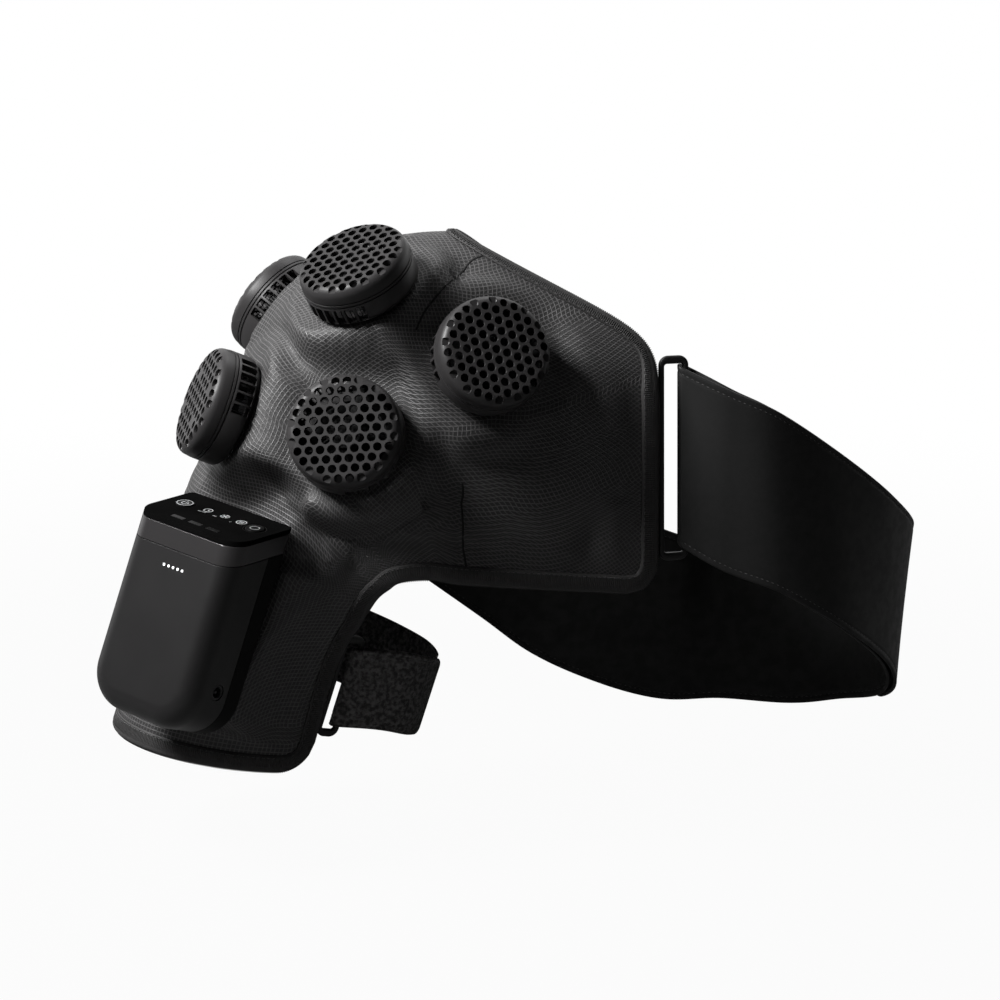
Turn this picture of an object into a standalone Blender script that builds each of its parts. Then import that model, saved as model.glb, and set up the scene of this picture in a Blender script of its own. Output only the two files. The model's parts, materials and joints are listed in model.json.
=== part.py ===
"""Hot and cold therapy wrap for the right shoulder.

Five thermoelectric modules sit on a shaped laminate shell, with a battery control unit on the
upper arm, a torso strap and an arm strap. Metres, +Z up. The origin is the centre of the
wearer's shoulder joint, +X runs towards the neck and -Y is the wearer's front.
"""

import math

import bmesh
import bpy
from mathutils import Matrix, Vector

# Clearances
FIT = 0.0003
OVERRUN = 0.004
WELD = 0.000002

# Shell layers and extent
SHELL_WIDTH = 0.280
SHELL_HEIGHT = 0.274
SHELL_DEPTH = 0.073
SKIN_THICKNESS = 0.0030
HARNESS_THICKNESS = 0.0010
LINER_THICKNESS = 0.0024
NECK_DEPTH = 0.052
TAPE_WIDTH = 0.008
TAPE_THICKNESS = 0.0009
LEAF_SHARE = 0.75
TAPE_GAP = 0.0006

# Modules
MODULE_RADIUS = 0.0290
SEAT_RADIUS = 0.0242
BOSS_RADIUS = 0.0212
BOSS_WALL = 0.0022
BASE_HEIGHT = 0.0120
BASE_WALL = 0.0020
FLANGE_THICKNESS = 0.0020
FOOT_RISE = 0.0042
VENT_WIDTH = 0.0043
VENT_HEIGHT = 0.0074
VENT_COUNT = 6
CAP_HEIGHT = 0.0104
CAP_EDGE = 0.0055
CAP_WALL = 0.0020
CAP_PLATE = 0.0018
GRILLE_RINGS = 2
GRILLE_PITCH = 0.0092
GRILLE_HOLE_RADIUS = 0.0039
ROTOR_RADIUS = 0.0245
ROTOR_HEIGHT = 0.0065
HUB_RADIUS = 0.0080
BLADE_COUNT = 5
BLADE_THICKNESS = 0.0012
SHAFT_RADIUS = 0.0015
SINK_THICKNESS = 0.0022
FIN_HEIGHT = 0.0070
FIN_SIDE = 0.0030
FIN_COUNT = 6
MOTOR_RADIUS = 0.0060
TILE_SIDE = 0.0240
TILE_THICKNESS = 0.0030
PLATE_THICKNESS = 0.0028
FLAT_RADIUS = 0.0380
FLAT_FADE = 0.0120
SEAT_LIFT = 0.0014
MODULE_LIFT = 0.0008
SEAT_DEPTH = 0.0240
UNIT_REACH_SHARE = 0.80
UNIT_FADE = 0.0300

# Control unit
UNIT_WIDTH = 0.0700
UNIT_DEPTH = 0.0390
UNIT_HEIGHT = 0.0990
UNIT_FOOT_RADIUS = 0.0210
UNIT_EDGE = 0.0110
UNIT_BACK_EDGE = 0.0030
UNIT_WALL = 0.0020
UNIT_SEAM = 0.0120
UNIT_SLOPE = math.radians(20.0)
BEZEL_HEIGHT = 0.0100
PANEL_THICKNESS = 0.0022
BUTTON_RADIUS = 0.0048
BUTTON_SKIRT = 0.0012
BUTTON_RISE = 0.0006
BUTTON_TRAVEL = 0.0006
KEY_WIDTH = 0.0085
KEY_DEPTH = 0.0030
LIGHT_RADIUS = 0.0007
LIGHT_PITCH = 0.0031
LIGHT_COUNT = 5
CELL_RADIUS = 0.0091
CELL_LENGTH = 0.0650
CELL_COUNT = 3
BOARD_THICKNESS = 0.0016
BOARD_WIDTH = 0.0560
BOARD_HEIGHT = 0.0700
JACK_RADIUS = 0.0040
JACK_BORE = 0.0027
JACK_PIN = 0.0010
JACK_LENGTH = 0.0060
CRADLE_THICKNESS = 0.0040
CRADLE_WIDTH = 0.0520
CRADLE_HEIGHT = 0.0780

# Straps and rings
STRAP_LENGTH = 0.142
STRAP_DEPTH = 0.098
STRAP_DROP = 0.187
STRAP_WIDTH = 0.0930
STRAP_THICKNESS = 0.0020
HOOK_THICKNESS = 0.0010
RING_THICKNESS = 0.0030
RING_BAR = 0.0028
RING_SLOT_WIDTH = 0.0100
RING_SLOT_HEIGHT = 0.0970
RING_CORNER = 0.0050
RING_TAB = 0.0120
RING_TAB_THICKNESS = 0.0010
RING_TAB_SHARE = 0.60
RING_SINK = 0.0035
RING_GAP = 0.0014
TORSO_RING_COLUMN = 0.64
ARM_RING_ROW = 0.083
TORSO_RING_SPAN = 0.20
ARM_RING_SPAN = 0.045
EDGE_STEP_SHARE = 0.03
ARM_STRAP_WIDTH = 0.0430
ARM_STRAP_THICKNESS = 0.0018
ARM_RING_SLOT_WIDTH = 0.0075
ARM_RING_SLOT_HEIGHT = 0.0480
ARM_LOOP = 0.045

# Facets
TURN_STEPS = 20
HOLE_STEPS = 16
SMALL_STEPS = 12
CORNER_STEPS = 4

# Sections of the wrap from the arm hem to the neck side. Each gives its outer ridge and its
# free front edge as x and z shares, then the shares of its drop, swell and curl.
SECTION_SHARES = (
    (-0.429, -0.638, -0.063, -0.698, 0.58, 0.80, 0.22),
    (-0.357, -0.415, -0.007, -0.499, 0.56, 0.80, 0.19),
    (-0.285, -0.188, 0.040, -0.408, 0.60, 0.85, 0.14),
    (-0.218, -0.048, 0.066, -0.359, 0.66, 0.93, 0.11),
    (-0.159, 0.069, 0.088, -0.334, 0.72, 0.97, 0.07),
    (-0.080, 0.192, 0.113, -0.315, 0.78, 1.00, 0.04),
    (0.019, 0.274, 0.171, -0.309, 0.78, 0.99, 0.03),
    (0.133, 0.296, 0.251, -0.320, 0.74, 0.945, 0.02),
)
NECK_TOP_SHARE = (0.213, 0.301)
CHEST_EDGE_SHARE = 0.578
BACK_EDGE_SHARE = 0.430
BACK_SWELL_SHARE = 0.85
CHEST_FOOT_SHARE = -0.358
CHEST_DROP_SHARE = 0.50
CHEST_SWELL_SHARE = 0.60
CHEST_CURL_SHARE = 0.04

# Rows run from the hem to the neck side; columns from the ridge to the free edge
ROW_SHARES = (
    0, 0.027, 0.08, 0.15, 0.22, 0.29, 0.35, 0.40, 0.45, 0.505, 0.56, 0.605, 0.65, 0.695, 0.74, 0.775, 0.81,
    0.84, 0.865, 0.89, 0.915, 0.94, 0.965, 0.985, 1,
)
FRONT_SHARES = (0, 0.06, 0.12, 0.18, 0.24, 0.30, 0.36, 0.42, 0.50, 0.60, 0.72, 0.84, 0.91, 0.96, 1)
BACK_SHARES = (0.06, 0.13, 0.20, 0.30, 0.44, 0.60, 0.78, 0.90, 0.96, 1)
HEM_CORNER_SHARES = (0.032, 0.15)
NECK_CORNER_SHARES = (0.018, 0.10)

# Seats on the shell: row share, column share (negative on the back), then the facing direction
MODULE_SEATS = {
    "top": (0.7735, 0.1965, (-0.32, -0.46, 0.82)),
    "front": (0.647, 0.387, (-0.11, -0.92, 0.365)),
    "chest": (0.913, 0.340, (0.27, -0.88, 0.39)),
    "side": (0.4235, 0.160, (-0.88, -0.27, 0.39)),
    "rear": (0.5905, -0.1675, (-0.73, 0.42, 0.54)),
}
VENT_TURNS = {"top": 273.0, "front": 305.0, "chest": 168.0, "side": 37.0, "rear": 34.0}
UNIT_SEAT = (0.140, 0.385, (-0.555, -0.785, 0.280))
UNIT_UP = (0.293, 0.1305, 0.948)

# Torso band past its ring: its lower and its upper edge round to the back, as x, y, z
# shares from the chest panel's upright edge
BAND_SHARES = (
    (0.257, -0.43, -0.464, 0.272, -0.43, 0.026),
    (0.451, -0.44, -0.53, 0.434, -0.42, -0.025),
    (0.696, -0.28, -0.655, 0.656, -0.26, -0.145),
    (0.878, 0.05, -0.79, 0.867, 0, -0.29),
    (0.907, 0.32, -0.865, 0.973, 0.36, -0.45),
    (0.757, 0.66, -0.95, 0.867, 0.74, -0.49),
    (0.572, 0.83, -0.99, 0.62, 0.92, -0.508),
    (0.303, 0.93, -1, 0.303, 0.99, -0.49),
    (0.054, 0.86, -0.99, 0.164, 0.86, -0.487),
    (-0.231, 0.77, -0.915, 0.037, 0.785, -0.45),
    (-0.447, 0.72, -0.83, -0.117, 0.715, -0.39),
    (-0.633, 0.745, -0.729, -0.301, 0.695, -0.289),
    (-0.914, 0.785, -0.581, -0.58, 0.755, -0.142),
    (-1.119, 0.8, -0.471, -0.787, 0.78, -0.032),
)
CLOSE_SHARE = 0.12
BEND_STEPS = 8
BAND_STEPS = 36
BAND_RETURN_STEPS = 14
HOOK_STEPS = 4
HOOK_WIDTH_SHARE = 0.9

# Arm band past its ring: centre points round to the back edge, as x and y shares of
# ARM_LOOP and z shares of the shell's height
ARM_BAND_SHARES = (
    (0.6, -0.73, -0.5551),
    (0.89, -0.42, -0.5765),
    (1, 0.06, -0.588),
    (0.86, 0.55, -0.5797),
    (0.5, 0.88, -0.5584),
    (0.09, 1.09, -0.5354),
    (-0.18, 1.18, -0.5206),
    (-0.44, 1.3, -0.5058),
)
ARM_GENERATOR = (0.314, 0.080, 0.947)
ARM_BAND_STEPS = 22
ARM_RETURN_STEPS = 7

COLOURS = {
    "shell_laminate": ((0.020, 0.019, 0.019, 1.0), 0.62, 0.0),
    "lining_fabric": ((0.060, 0.060, 0.063, 1.0), 0.95, 0.0),
    "binding_tape": ((0.016, 0.016, 0.016, 1.0), 0.85, 0.0),
    "harness_film": ((0.150, 0.070, 0.015, 1.0), 0.45, 0.0),
    "module_plastic": ((0.022, 0.020, 0.020, 1.0), 0.42, 0.0),
    "rotor_plastic": ((0.016, 0.016, 0.017, 1.0), 0.40, 0.0),
    "sink_metal": ((0.600, 0.610, 0.630, 1.0), 0.35, 1.0),
    "tile_ceramic": ((0.780, 0.780, 0.760, 1.0), 0.50, 0.0),
    "plate_metal": ((0.700, 0.710, 0.730, 1.0), 0.28, 1.0),
    "unit_satin": ((0.026, 0.024, 0.025, 1.0), 0.38, 0.0),
    "unit_rear": ((0.010, 0.010, 0.010, 1.0), 0.45, 0.0),
    "bezel_gloss": ((0.045, 0.043, 0.045, 1.0), 0.12, 0.6),
    "panel_gloss": ((0.004, 0.004, 0.005, 1.0), 0.06, 0.0),
    "button_plastic": ((0.030, 0.030, 0.032, 1.0), 0.30, 0.0),
    "light_pipe": ((0.900, 0.920, 0.950, 1.0), 0.30, 0.0),
    "board_laminate": ((0.020, 0.120, 0.050, 1.0), 0.50, 0.0),
    "cell_wrap": ((0.050, 0.120, 0.300, 1.0), 0.45, 0.0),
    "jack_metal": ((0.350, 0.350, 0.360, 1.0), 0.30, 1.0),
    "ring_plastic": ((0.012, 0.012, 0.012, 1.0), 0.45, 0.0),
    "strap_web": ((0.011, 0.011, 0.012, 1.0), 0.80, 0.0),
    "loop_pile": ((0.030, 0.029, 0.029, 1.0), 1.00, 0.0),
    "hook_tape": ((0.014, 0.014, 0.014, 1.0), 0.90, 0.0),
}


def clear_scene():
    """Remove every object that the scene starts with."""
    for item in list(bpy.data.objects):
        bpy.data.objects.remove(item, do_unlink=True)


def material_for(node, finish):
    """Make one node's own Principled material from a named finish."""
    colour, roughness, metallic = COLOURS[finish]
    material = bpy.data.materials.new(node + "_" + finish)
    material.use_nodes = True
    shader = material.node_tree.nodes["Principled BSDF"]
    shader.inputs["Base Color"].default_value = colour
    shader.inputs["Roughness"].default_value = roughness
    shader.inputs["Metallic"].default_value = metallic
    return material


def add_object(node, mesh_data, finish, parent=None):
    """Turn a bmesh into a named object with its own material, shaded smooth by angle."""
    mesh = bpy.data.meshes.new(node)
    mesh_data.to_mesh(mesh)
    mesh_data.free()
    mesh.shade_smooth()
    mesh.set_sharp_from_angle(angle=math.radians(35.0))
    item = bpy.data.objects.new(node, mesh)
    item.data.materials.append(material_for(node, finish))
    bpy.context.scene.collection.objects.link(item)
    item.parent = parent
    return item


def add_frame(name, matrix, parent=None):
    """Add an empty that carries the pieces of one sub-assembly."""
    frame = bpy.data.objects.new(name, None)
    bpy.context.scene.collection.objects.link(frame)
    frame.parent = parent
    frame.matrix_local = matrix
    return frame


def cut(item, cutter_data, name):
    """Cut a bmesh shape out of an object and keep the cutter as a hidden wire."""
    cutter = add_object(name, cutter_data, "ring_plastic", item.parent)
    cutter.hide_render = True
    cutter.display_type = "WIRE"
    modifier = item.modifiers.new(name, "BOOLEAN")
    modifier.operation = "DIFFERENCE"
    modifier.solver = "EXACT"
    modifier.object = cutter
    return cutter


def turned(profile, steps):
    """Revolve a closed profile of (radius, height) pairs round +Z."""
    shape = bmesh.new()
    points = [shape.verts.new((radius, 0, height)) for radius, height in profile]
    edges = [shape.edges.new(pair) for pair in zip(points, points[1:])]
    if profile[0][0] or profile[-1][0]:
        edges.append(shape.edges.new((points[-1], points[0])))
    bmesh.ops.spin(
        shape, geom=points + edges, cent=(0, 0, 0), axis=(0, 0, 1), angle=math.tau,
        steps=steps, use_merge=True, use_duplicate=False,
    )
    bmesh.ops.remove_doubles(shape, verts=shape.verts, dist=WELD)
    bmesh.ops.recalc_face_normals(shape, faces=shape.faces)
    return shape


def disc(radius, low, high, steps):
    """Solid round disc between two heights."""
    return turned(((0, low), (radius, low), (radius, high), (0, high)), steps)


def block(width, depth, low, high):
    """Rectangular block centred on the origin in x and y."""
    shape = bmesh.new()
    bmesh.ops.create_cube(shape, size=1)
    bmesh.ops.scale(shape, vec=(width, depth, high - low), verts=shape.verts)
    bmesh.ops.translate(shape, vec=(0, 0, (high + low) / 2), verts=shape.verts)
    return shape


def moved(shape, matrix):
    """Move a bmesh shape by a matrix and return it."""
    bmesh.ops.transform(shape, matrix=matrix, verts=shape.verts)
    return shape


def joined(shapes):
    """Collect several bmesh shapes in one bmesh."""
    result = bmesh.new()
    for shape in shapes:
        mesh = bpy.data.meshes.new("part")
        shape.to_mesh(mesh)
        shape.free()
        result.from_mesh(mesh)
        bpy.data.meshes.remove(mesh)
    return result


def loft(rings, closed_ends=True):
    """Skin a list of equal rings of points, with a face on each end."""
    shape = bmesh.new()
    loops = [[shape.verts.new(point) for point in ring] for ring in rings]
    for low, high in zip(loops, loops[1:]):
        for index in range(len(low)):
            follow = (index + 1) % len(low)
            shape.faces.new((low[index], low[follow], high[follow], high[index]))
    if closed_ends:
        shape.faces.new(list(reversed(loops[0])))
        shape.faces.new(loops[-1])
    bmesh.ops.recalc_face_normals(shape, faces=shape.faces)
    return shape


def curve_point(points, share):
    """Point on a smooth curve through all the given points, at a share of its length in points."""
    place = share * (len(points) - 1)
    index = min(int(place), len(points) - 2)
    step = place - index
    first = points[index]
    last = points[index + 1]
    before = points[index - 1] if index else first * 2 - last
    after = points[index + 2] if index + 2 < len(points) else last * 2 - first
    return (
        first * 2
        + (last - before) * step
        + (before * 2 - first * 5 + last * 4 - after) * step ** 2
        + (first * 3 - before - last * 3 + after) * step ** 3
    ) / 2


# Surface of the wrap


def leg_split(column):
    """Angle round the shoulder and distance share down the leg for a column share."""
    return min(column * 2, 1) * math.pi / 2, max(column * 2 - 1, 0)


def section_point(section, side, column):
    """Point of one section of the wrap; side is 1 on the front and -1 on the back."""
    outer_x, outer_z, edge_x, edge_z, drop_share, swell_share, curl_share = section
    outer = Vector((outer_x * SHELL_WIDTH, 0, outer_z * SHELL_HEIGHT))
    edge = Vector((edge_x * SHELL_WIDTH, 0, edge_z * SHELL_HEIGHT))
    length = (edge - outer).length
    down = (edge - outer) / length
    angle, leg = leg_split(column)
    drop = drop_share * length
    fall = drop * (1 - math.cos(angle)) + leg * (length - drop)
    swell = SHELL_DEPTH * (swell_share * math.sin(angle) - curl_share * leg ** 2)
    return outer + down * fall + Vector((0, -side * swell, 0))


def neck_run(fall):
    """Share of the way from the neck to the panel's upright edge at a fall below the neck."""
    ratio = fall / NECK_DEPTH
    return ratio / (1 + ratio ** 8) ** (1 / 8)


def end_point(side, column):
    """Point on the neck slope and the panel's upright edge, where the rows end."""
    top_x, top_z = NECK_TOP_SHARE
    edge_share = CHEST_EDGE_SHARE if side > 0 else BACK_EDGE_SHARE
    swell_share = CHEST_SWELL_SHARE if side > 0 else BACK_SWELL_SHARE
    height = (top_z - CHEST_FOOT_SHARE) * SHELL_HEIGHT
    angle, leg = leg_split(column)
    drop = CHEST_DROP_SHARE * height
    fall = drop * (1 - math.cos(angle)) + leg * (height - drop)
    swell = SHELL_DEPTH * (swell_share * math.sin(angle) - CHEST_CURL_SHARE * leg ** 2)
    x = (top_x + (edge_share - top_x) * neck_run(fall)) * SHELL_WIDTH
    return Vector((x, -side * swell, top_z * SHELL_HEIGHT - fall))


def corner_inset(shares, column):
    """Share of the rows that a rounded corner takes away at a column share."""
    depth, width = shares
    run = max(column - (1 - width), 0) / width
    return depth * (1 - math.sqrt(max(1 - run ** 2, 0)))


def wrap_point(row, column):
    """Point of the wrap before its seats are pressed flat; negative columns are the back."""
    side = 1 if column >= 0 else -1
    column = abs(column)
    low = corner_inset(HEM_CORNER_SHARES, column) * (1 - row) ** 8
    high = corner_inset(NECK_CORNER_SHARES, column) * row ** 8
    points = [section_point(section, side, column) for section in SECTION_SHARES]
    points.append(end_point(side, column))
    return curve_point(points, row + low - high)


def seat_frame(row, column, facing, up=None):
    """Frame on the wrap with +Z along the facing direction and +Y along the given up."""
    z_axis = Vector(facing).normalized()
    x_axis = Vector(up or (0, 0, 1)).cross(z_axis).normalized()
    y_axis = z_axis.cross(x_axis)
    frame = Matrix((x_axis, y_axis, z_axis)).transposed().to_4x4()
    frame.translation = wrap_point(row, column) + z_axis * SEAT_LIFT
    return frame


def fade(distance, flat, width):
    """Weight of 1 inside a flat zone that falls smoothly to 0 outside it."""
    step = min(max((distance - flat) / width, 0), 1)
    return 1 - step * step * (3 - 2 * step)


class Wrap:
    """The wrap's surface with its flat seats, as a grid of points and directions."""

    def __init__(self):
        self.seats = {name: seat_frame(*seat) for name, seat in MODULE_SEATS.items()}
        self.unit = seat_frame(*UNIT_SEAT, UNIT_UP)
        self.columns = [-share for share in reversed(BACK_SHARES)] + list(FRONT_SHARES)
        self.points = [[self.surface(row, column) for column in self.columns] for row in ROW_SHARES]
        self.normals = [[self.normal(i, j) for j in range(len(self.columns))] for i in range(len(ROW_SHARES))]

    def surface(self, row, column):
        """Point of the wrap with its seats pressed flat."""
        point = wrap_point(row, column)
        moves = [self.seat_move(frame, point) for frame in self.seats.values()]
        moves.append(self.unit_move(point))
        largest = max(weight for weight, pull, move in moves)
        total = sum(pull for weight, pull, move in moves)
        if not largest:
            return point
        return self.under_unit(point + sum((move * pull for weight, pull, move in moves), Vector()) * largest / total)

    def under_unit(self, point):
        """Point lowered under the control unit's back face, wherever a seat would lift it into the unit."""
        local = self.unit.inverted() @ point
        raised = local.z - CRADLE_THICKNESS + FIT
        if raised <= 0:
            return point
        tall = UNIT_HEIGHT / 2 + UNIT_DEPTH * math.tan(UNIT_SLOPE)
        weight = fade(abs(local.x), UNIT_WIDTH / 2, FLAT_FADE) * fade(abs(local.y), tall, FLAT_FADE)
        return point - self.unit.to_3x3() @ Vector((0, 0, raised * weight))

    def seat_move(self, frame, point):
        """Weight, pull and full move that press a point on to a module's seat."""
        local = frame.inverted() @ point
        weight = fade(local.length, FLAT_RADIUS, FLAT_FADE)
        pull = weight * (FLAT_RADIUS / max(local.length, HUB_RADIUS)) ** 10
        return weight, pull, frame.to_3x3() @ Vector((0, 0, -local.z))

    def unit_move(self, point):
        """Weight and full move that press a point below the unit's back face."""
        local = self.unit.inverted() @ point
        raised = local.z > 0
        tall = UNIT_HEIGHT * UNIT_REACH_SHARE if raised and local.y > 0 else CRADLE_HEIGHT / 2
        weight = fade(abs(local.x), CRADLE_WIDTH / 2, UNIT_FADE) * fade(abs(local.y), tall, FLAT_FADE)
        weight *= fade(abs(local.z), SEAT_DEPTH * 2 if raised else SEAT_DEPTH, FLAT_FADE)
        return weight, weight, self.unit.to_3x3() @ Vector((0, 0, -local.z))

    def normal(self, i, j):
        """Outward direction at a grid point, from its neighbours."""
        along = self.points[min(i + 1, len(self.points) - 1)][j] - self.points[max(i - 1, 0)][j]
        across = self.points[i][min(j + 1, len(self.columns) - 1)] - self.points[i][max(j - 1, 0)]
        return across.cross(along).normalized()

    def leans_up(self, i, j):
        """Which way a cell is split, so that every corner of the outline is split towards it."""
        return (i * 2 < len(ROW_SHARES)) == (j * 2 < len(self.columns))

    def layer(self, outside, inside, rows=None, columns=None):
        """Closed sheet between two offsets from the surface, over a block of the grid."""
        rows = rows or range(len(ROW_SHARES))
        columns = columns or range(len(self.columns))
        shape = bmesh.new()
        sheets = []
        for offset in (outside, inside):
            sheets.append([
                [shape.verts.new(self.points[i][j] + self.normals[i][j] * offset) for j in columns]
                for i in rows
            ])
        for sheet in sheets:
            for i, low, high in zip(rows, sheet, sheet[1:]):
                for j, corners in zip(columns, zip(low, low[1:], high[1:], high)):
                    a, b, c, d = corners if self.leans_up(i, j) else corners[1:] + corners[:1]
                    shape.faces.new((a, b, c))
                    shape.faces.new((a, c, d))
        for top, bottom in zip(rim_of(sheets[0]), rim_of(sheets[1])):
            shape.faces.new((top[0], top[1], bottom[1], bottom[0]))
        bmesh.ops.recalc_face_normals(shape, faces=shape.faces)
        return shape

    def rim(self):
        """Grid places round the outline, each with its neighbour one cell in."""
        last_row = len(ROW_SHARES) - 1
        last_column = len(self.columns) - 1
        places = [(0, j) for j in range(last_column)]
        places += [(i, last_column) for i in range(last_row)]
        places += [(last_row, j) for j in range(last_column, 0, -1)]
        places += [(i, 0) for i in range(last_row, 0, -1)]
        for i, j in places:
            inner_i = min(max(i, 1), last_row - 1)
            inner_j = min(max(j, 1), last_column - 1)
            yield (i, j), (inner_i, inner_j)


def rim_of(sheet):
    """Pairs of neighbouring corners round the outside of a grid of vertices."""
    ring = list(sheet[0])
    ring += [row[-1] for row in sheet[1:]]
    ring += list(reversed(sheet[-1]))[1:]
    ring += [row[0] for row in reversed(sheet[1:-1])]
    return list(zip(ring, ring[1:] + ring[:1]))


def clear_radius(radius, steps):
    """Radius of a faceted hole that leaves the fit clearance round a shaft at its flats."""
    return (radius + FIT) / math.cos(math.pi / steps)


def stack_depth():
    """Depth of the lining's inner face below the wrap's surface."""
    return SKIN_THICKNESS + HARNESS_THICKNESS + FIT * 2 + LINER_THICKNESS


def module_cutters(wrap, radius):
    """Round cutters through the layers, one at each module seat."""
    shapes = []
    for frame in wrap.seats.values():
        shapes.append(moved(disc(radius, -stack_depth() - OVERRUN, OVERRUN, HOLE_STEPS), frame))
    return joined(shapes)


def build_shell(wrap):
    """Laminate outer shell, flat harness and lining, each cut by the module seats."""
    liner_top = SKIN_THICKNESS + HARNESS_THICKNESS + FIT * 2
    hole = clear_radius(BOSS_RADIUS, HOLE_STEPS)
    shell = add_object("outer_shell", wrap.layer(0, -SKIN_THICKNESS), "shell_laminate")
    cut(shell, module_cutters(wrap, hole), "shell_seat_holes")
    liner = add_object("inner_liner", wrap.layer(-liner_top, -stack_depth()), "lining_fabric")
    cut(liner, module_cutters(wrap, hole), "liner_seat_holes")
    harness_top = SKIN_THICKNESS + FIT
    middle = len(BACK_SHARES)
    rows = range(2, len(ROW_SHARES) - 2)
    columns = range(middle - 3, middle + 9)
    sheet = wrap.layer(-harness_top, -harness_top - HARNESS_THICKNESS, rows, columns)
    harness = add_object("wiring_harness", sheet, "harness_film")
    cut(harness, module_cutters(wrap, hole), "harness_seat_holes")


def build_binding(wrap):
    """Tape that wraps the free edge of the layers all round the outline."""
    depth = stack_depth()
    shape = bmesh.new()
    loops = []
    for (i, j), (inner_i, inner_j) in wrap.rim():
        edge = wrap.points[i][j]
        inner = wrap.points[inner_i][inner_j]
        normal = wrap.normals[i][j]
        span = (inner - edge).length
        share = min(TAPE_WIDTH / span, LEAF_SHARE)
        leaf = edge.lerp(inner, share)
        leaf_normal = normal.lerp(wrap.normals[inner_i][inner_j], share)
        outward = (edge - inner).normalized()
        skin = TAPE_GAP + TAPE_THICKNESS
        profile = (
            leaf + leaf_normal * TAPE_GAP,
            leaf + leaf_normal * skin,
            edge + outward * skin + normal * skin,
            edge + outward * skin - normal * (depth + skin),
            leaf - leaf_normal * (depth + skin),
            leaf - leaf_normal * (depth + TAPE_GAP),
            edge + outward * TAPE_GAP - normal * (depth + TAPE_GAP),
            edge + outward * TAPE_GAP + normal * TAPE_GAP,
        )
        loops.append([shape.verts.new(point) for point in profile])
    for low, high in zip(loops, loops[1:] + loops[:1]):
        for index in range(len(low)):
            follow = (index + 1) % len(low)
            shape.faces.new((low[index], low[follow], high[follow], high[index]))
    bmesh.ops.recalc_face_normals(shape, faces=shape.faces)
    add_object("edge_binding", shape, "binding_tape")


# Thermoelectric modules


def base_profile():
    """Half section of a module's base: boss, flange, tapered foot and side wall."""
    bore = BOSS_RADIUS - BOSS_WALL
    boss_foot = -SKIN_THICKNESS - FIT
    top = FIT + BASE_HEIGHT
    inner = MODULE_RADIUS - BASE_WALL
    return (
        (bore, boss_foot),
        (BOSS_RADIUS, boss_foot),
        (BOSS_RADIUS, FIT),
        (SEAT_RADIUS, FIT),
        (MODULE_RADIUS, FIT + FOOT_RISE),
        (MODULE_RADIUS, top),
        (inner, top),
        (inner, FIT + FOOT_RISE + BASE_WALL / 2),
        (SEAT_RADIUS, FIT + FLANGE_THICKNESS),
        (bore, FIT + FLANGE_THICKNESS),
    )


def vent_cutters(turn):
    """Two groups of upright vents on opposite sides of a base."""
    shapes = []
    centre = FIT + BASE_HEIGHT - VENT_HEIGHT / 2 - BASE_WALL * 0.8
    pitch = VENT_WIDTH * 1.4 / MODULE_RADIUS
    for group in (0, math.pi):
        for index in range(VENT_COUNT):
            angle = math.radians(turn) + group + (index - (VENT_COUNT - 1) / 2) * pitch
            vent = block(OVERRUN * 2, VENT_WIDTH, -VENT_HEIGHT / 2, VENT_HEIGHT / 2)
            place = Matrix.Rotation(angle, 4, "Z") @ Matrix.Translation((MODULE_RADIUS, 0, centre))
            shapes.append(moved(vent, place))
    return joined(shapes)


def cap_profile():
    """Half section of a grille cap: perforated plate, rounded edge and side wall."""
    low = FIT * 2 + BASE_HEIGHT
    high = low + CAP_HEIGHT
    inner = MODULE_RADIUS - CAP_WALL
    corner = MODULE_RADIUS - CAP_EDGE
    outside = [(0, high)]
    for index in range(CORNER_STEPS):
        angle = math.pi / 2 * (1 - index / (CORNER_STEPS - 1))
        radius = corner + CAP_EDGE * math.cos(angle)
        outside.append((radius, high - CAP_EDGE + CAP_EDGE * math.sin(angle)))
    inside = [(inner, low), (inner, high - CAP_EDGE), (corner, high - CAP_PLATE), (0, high - CAP_PLATE)]
    return outside + [(MODULE_RADIUS, low)] + inside


def grille_cutters():
    """Hexagonal field of holes through a cap's plate."""
    high = FIT * 2 + BASE_HEIGHT + CAP_HEIGHT
    shapes = []
    for column in range(-GRILLE_RINGS, GRILLE_RINGS + 1):
        for row in range(-GRILLE_RINGS, GRILLE_RINGS + 1):
            if abs(column + row) > GRILLE_RINGS:
                continue
            x = GRILLE_PITCH * (column + row / 2)
            y = GRILLE_PITCH * row * math.sqrt(3) / 2
            hole = disc(GRILLE_HOLE_RADIUS, high - CAP_PLATE - OVERRUN, high + OVERRUN, 6)
            shapes.append(moved(hole, Matrix.Translation((x, y, 0))))
    return joined(shapes)


def sink_shape():
    """Heat sink in one body: base disc, ring of square fins, motor post and shaft."""
    low = -FIT
    top = low + SINK_THICKNESS
    post = top + FIN_HEIGHT
    radius = (BOSS_RADIUS - BOSS_WALL) * math.cos(math.pi / TURN_STEPS) - FIT
    profile = (
        (0, low), (radius, low), (radius, top), (MOTOR_RADIUS, top), (MOTOR_RADIUS, post),
        (SHAFT_RADIUS, post), (SHAFT_RADIUS, post + FIT + ROTOR_HEIGHT / 2), (0, post + FIT + ROTOR_HEIGHT / 2),
    )
    return turned(profile, HOLE_STEPS)


def fin_shapes():
    """Square fins that stand on the heat sink, each sunk into its disc."""
    low = -FIT + SINK_THICKNESS / 2
    high = -FIT + SINK_THICKNESS + FIN_HEIGHT - FIN_SIDE / 2
    reach = (BOSS_RADIUS - BOSS_WALL + MOTOR_RADIUS) / 2
    shapes = []
    for index in range(FIN_COUNT):
        turn = Matrix.Rotation(math.tau * index / FIN_COUNT, 4, "Z")
        shapes.append(moved(block(FIN_SIDE * 2, FIN_SIDE, low, high), turn @ Matrix.Translation((reach, 0, 0))))
    return shapes


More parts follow.
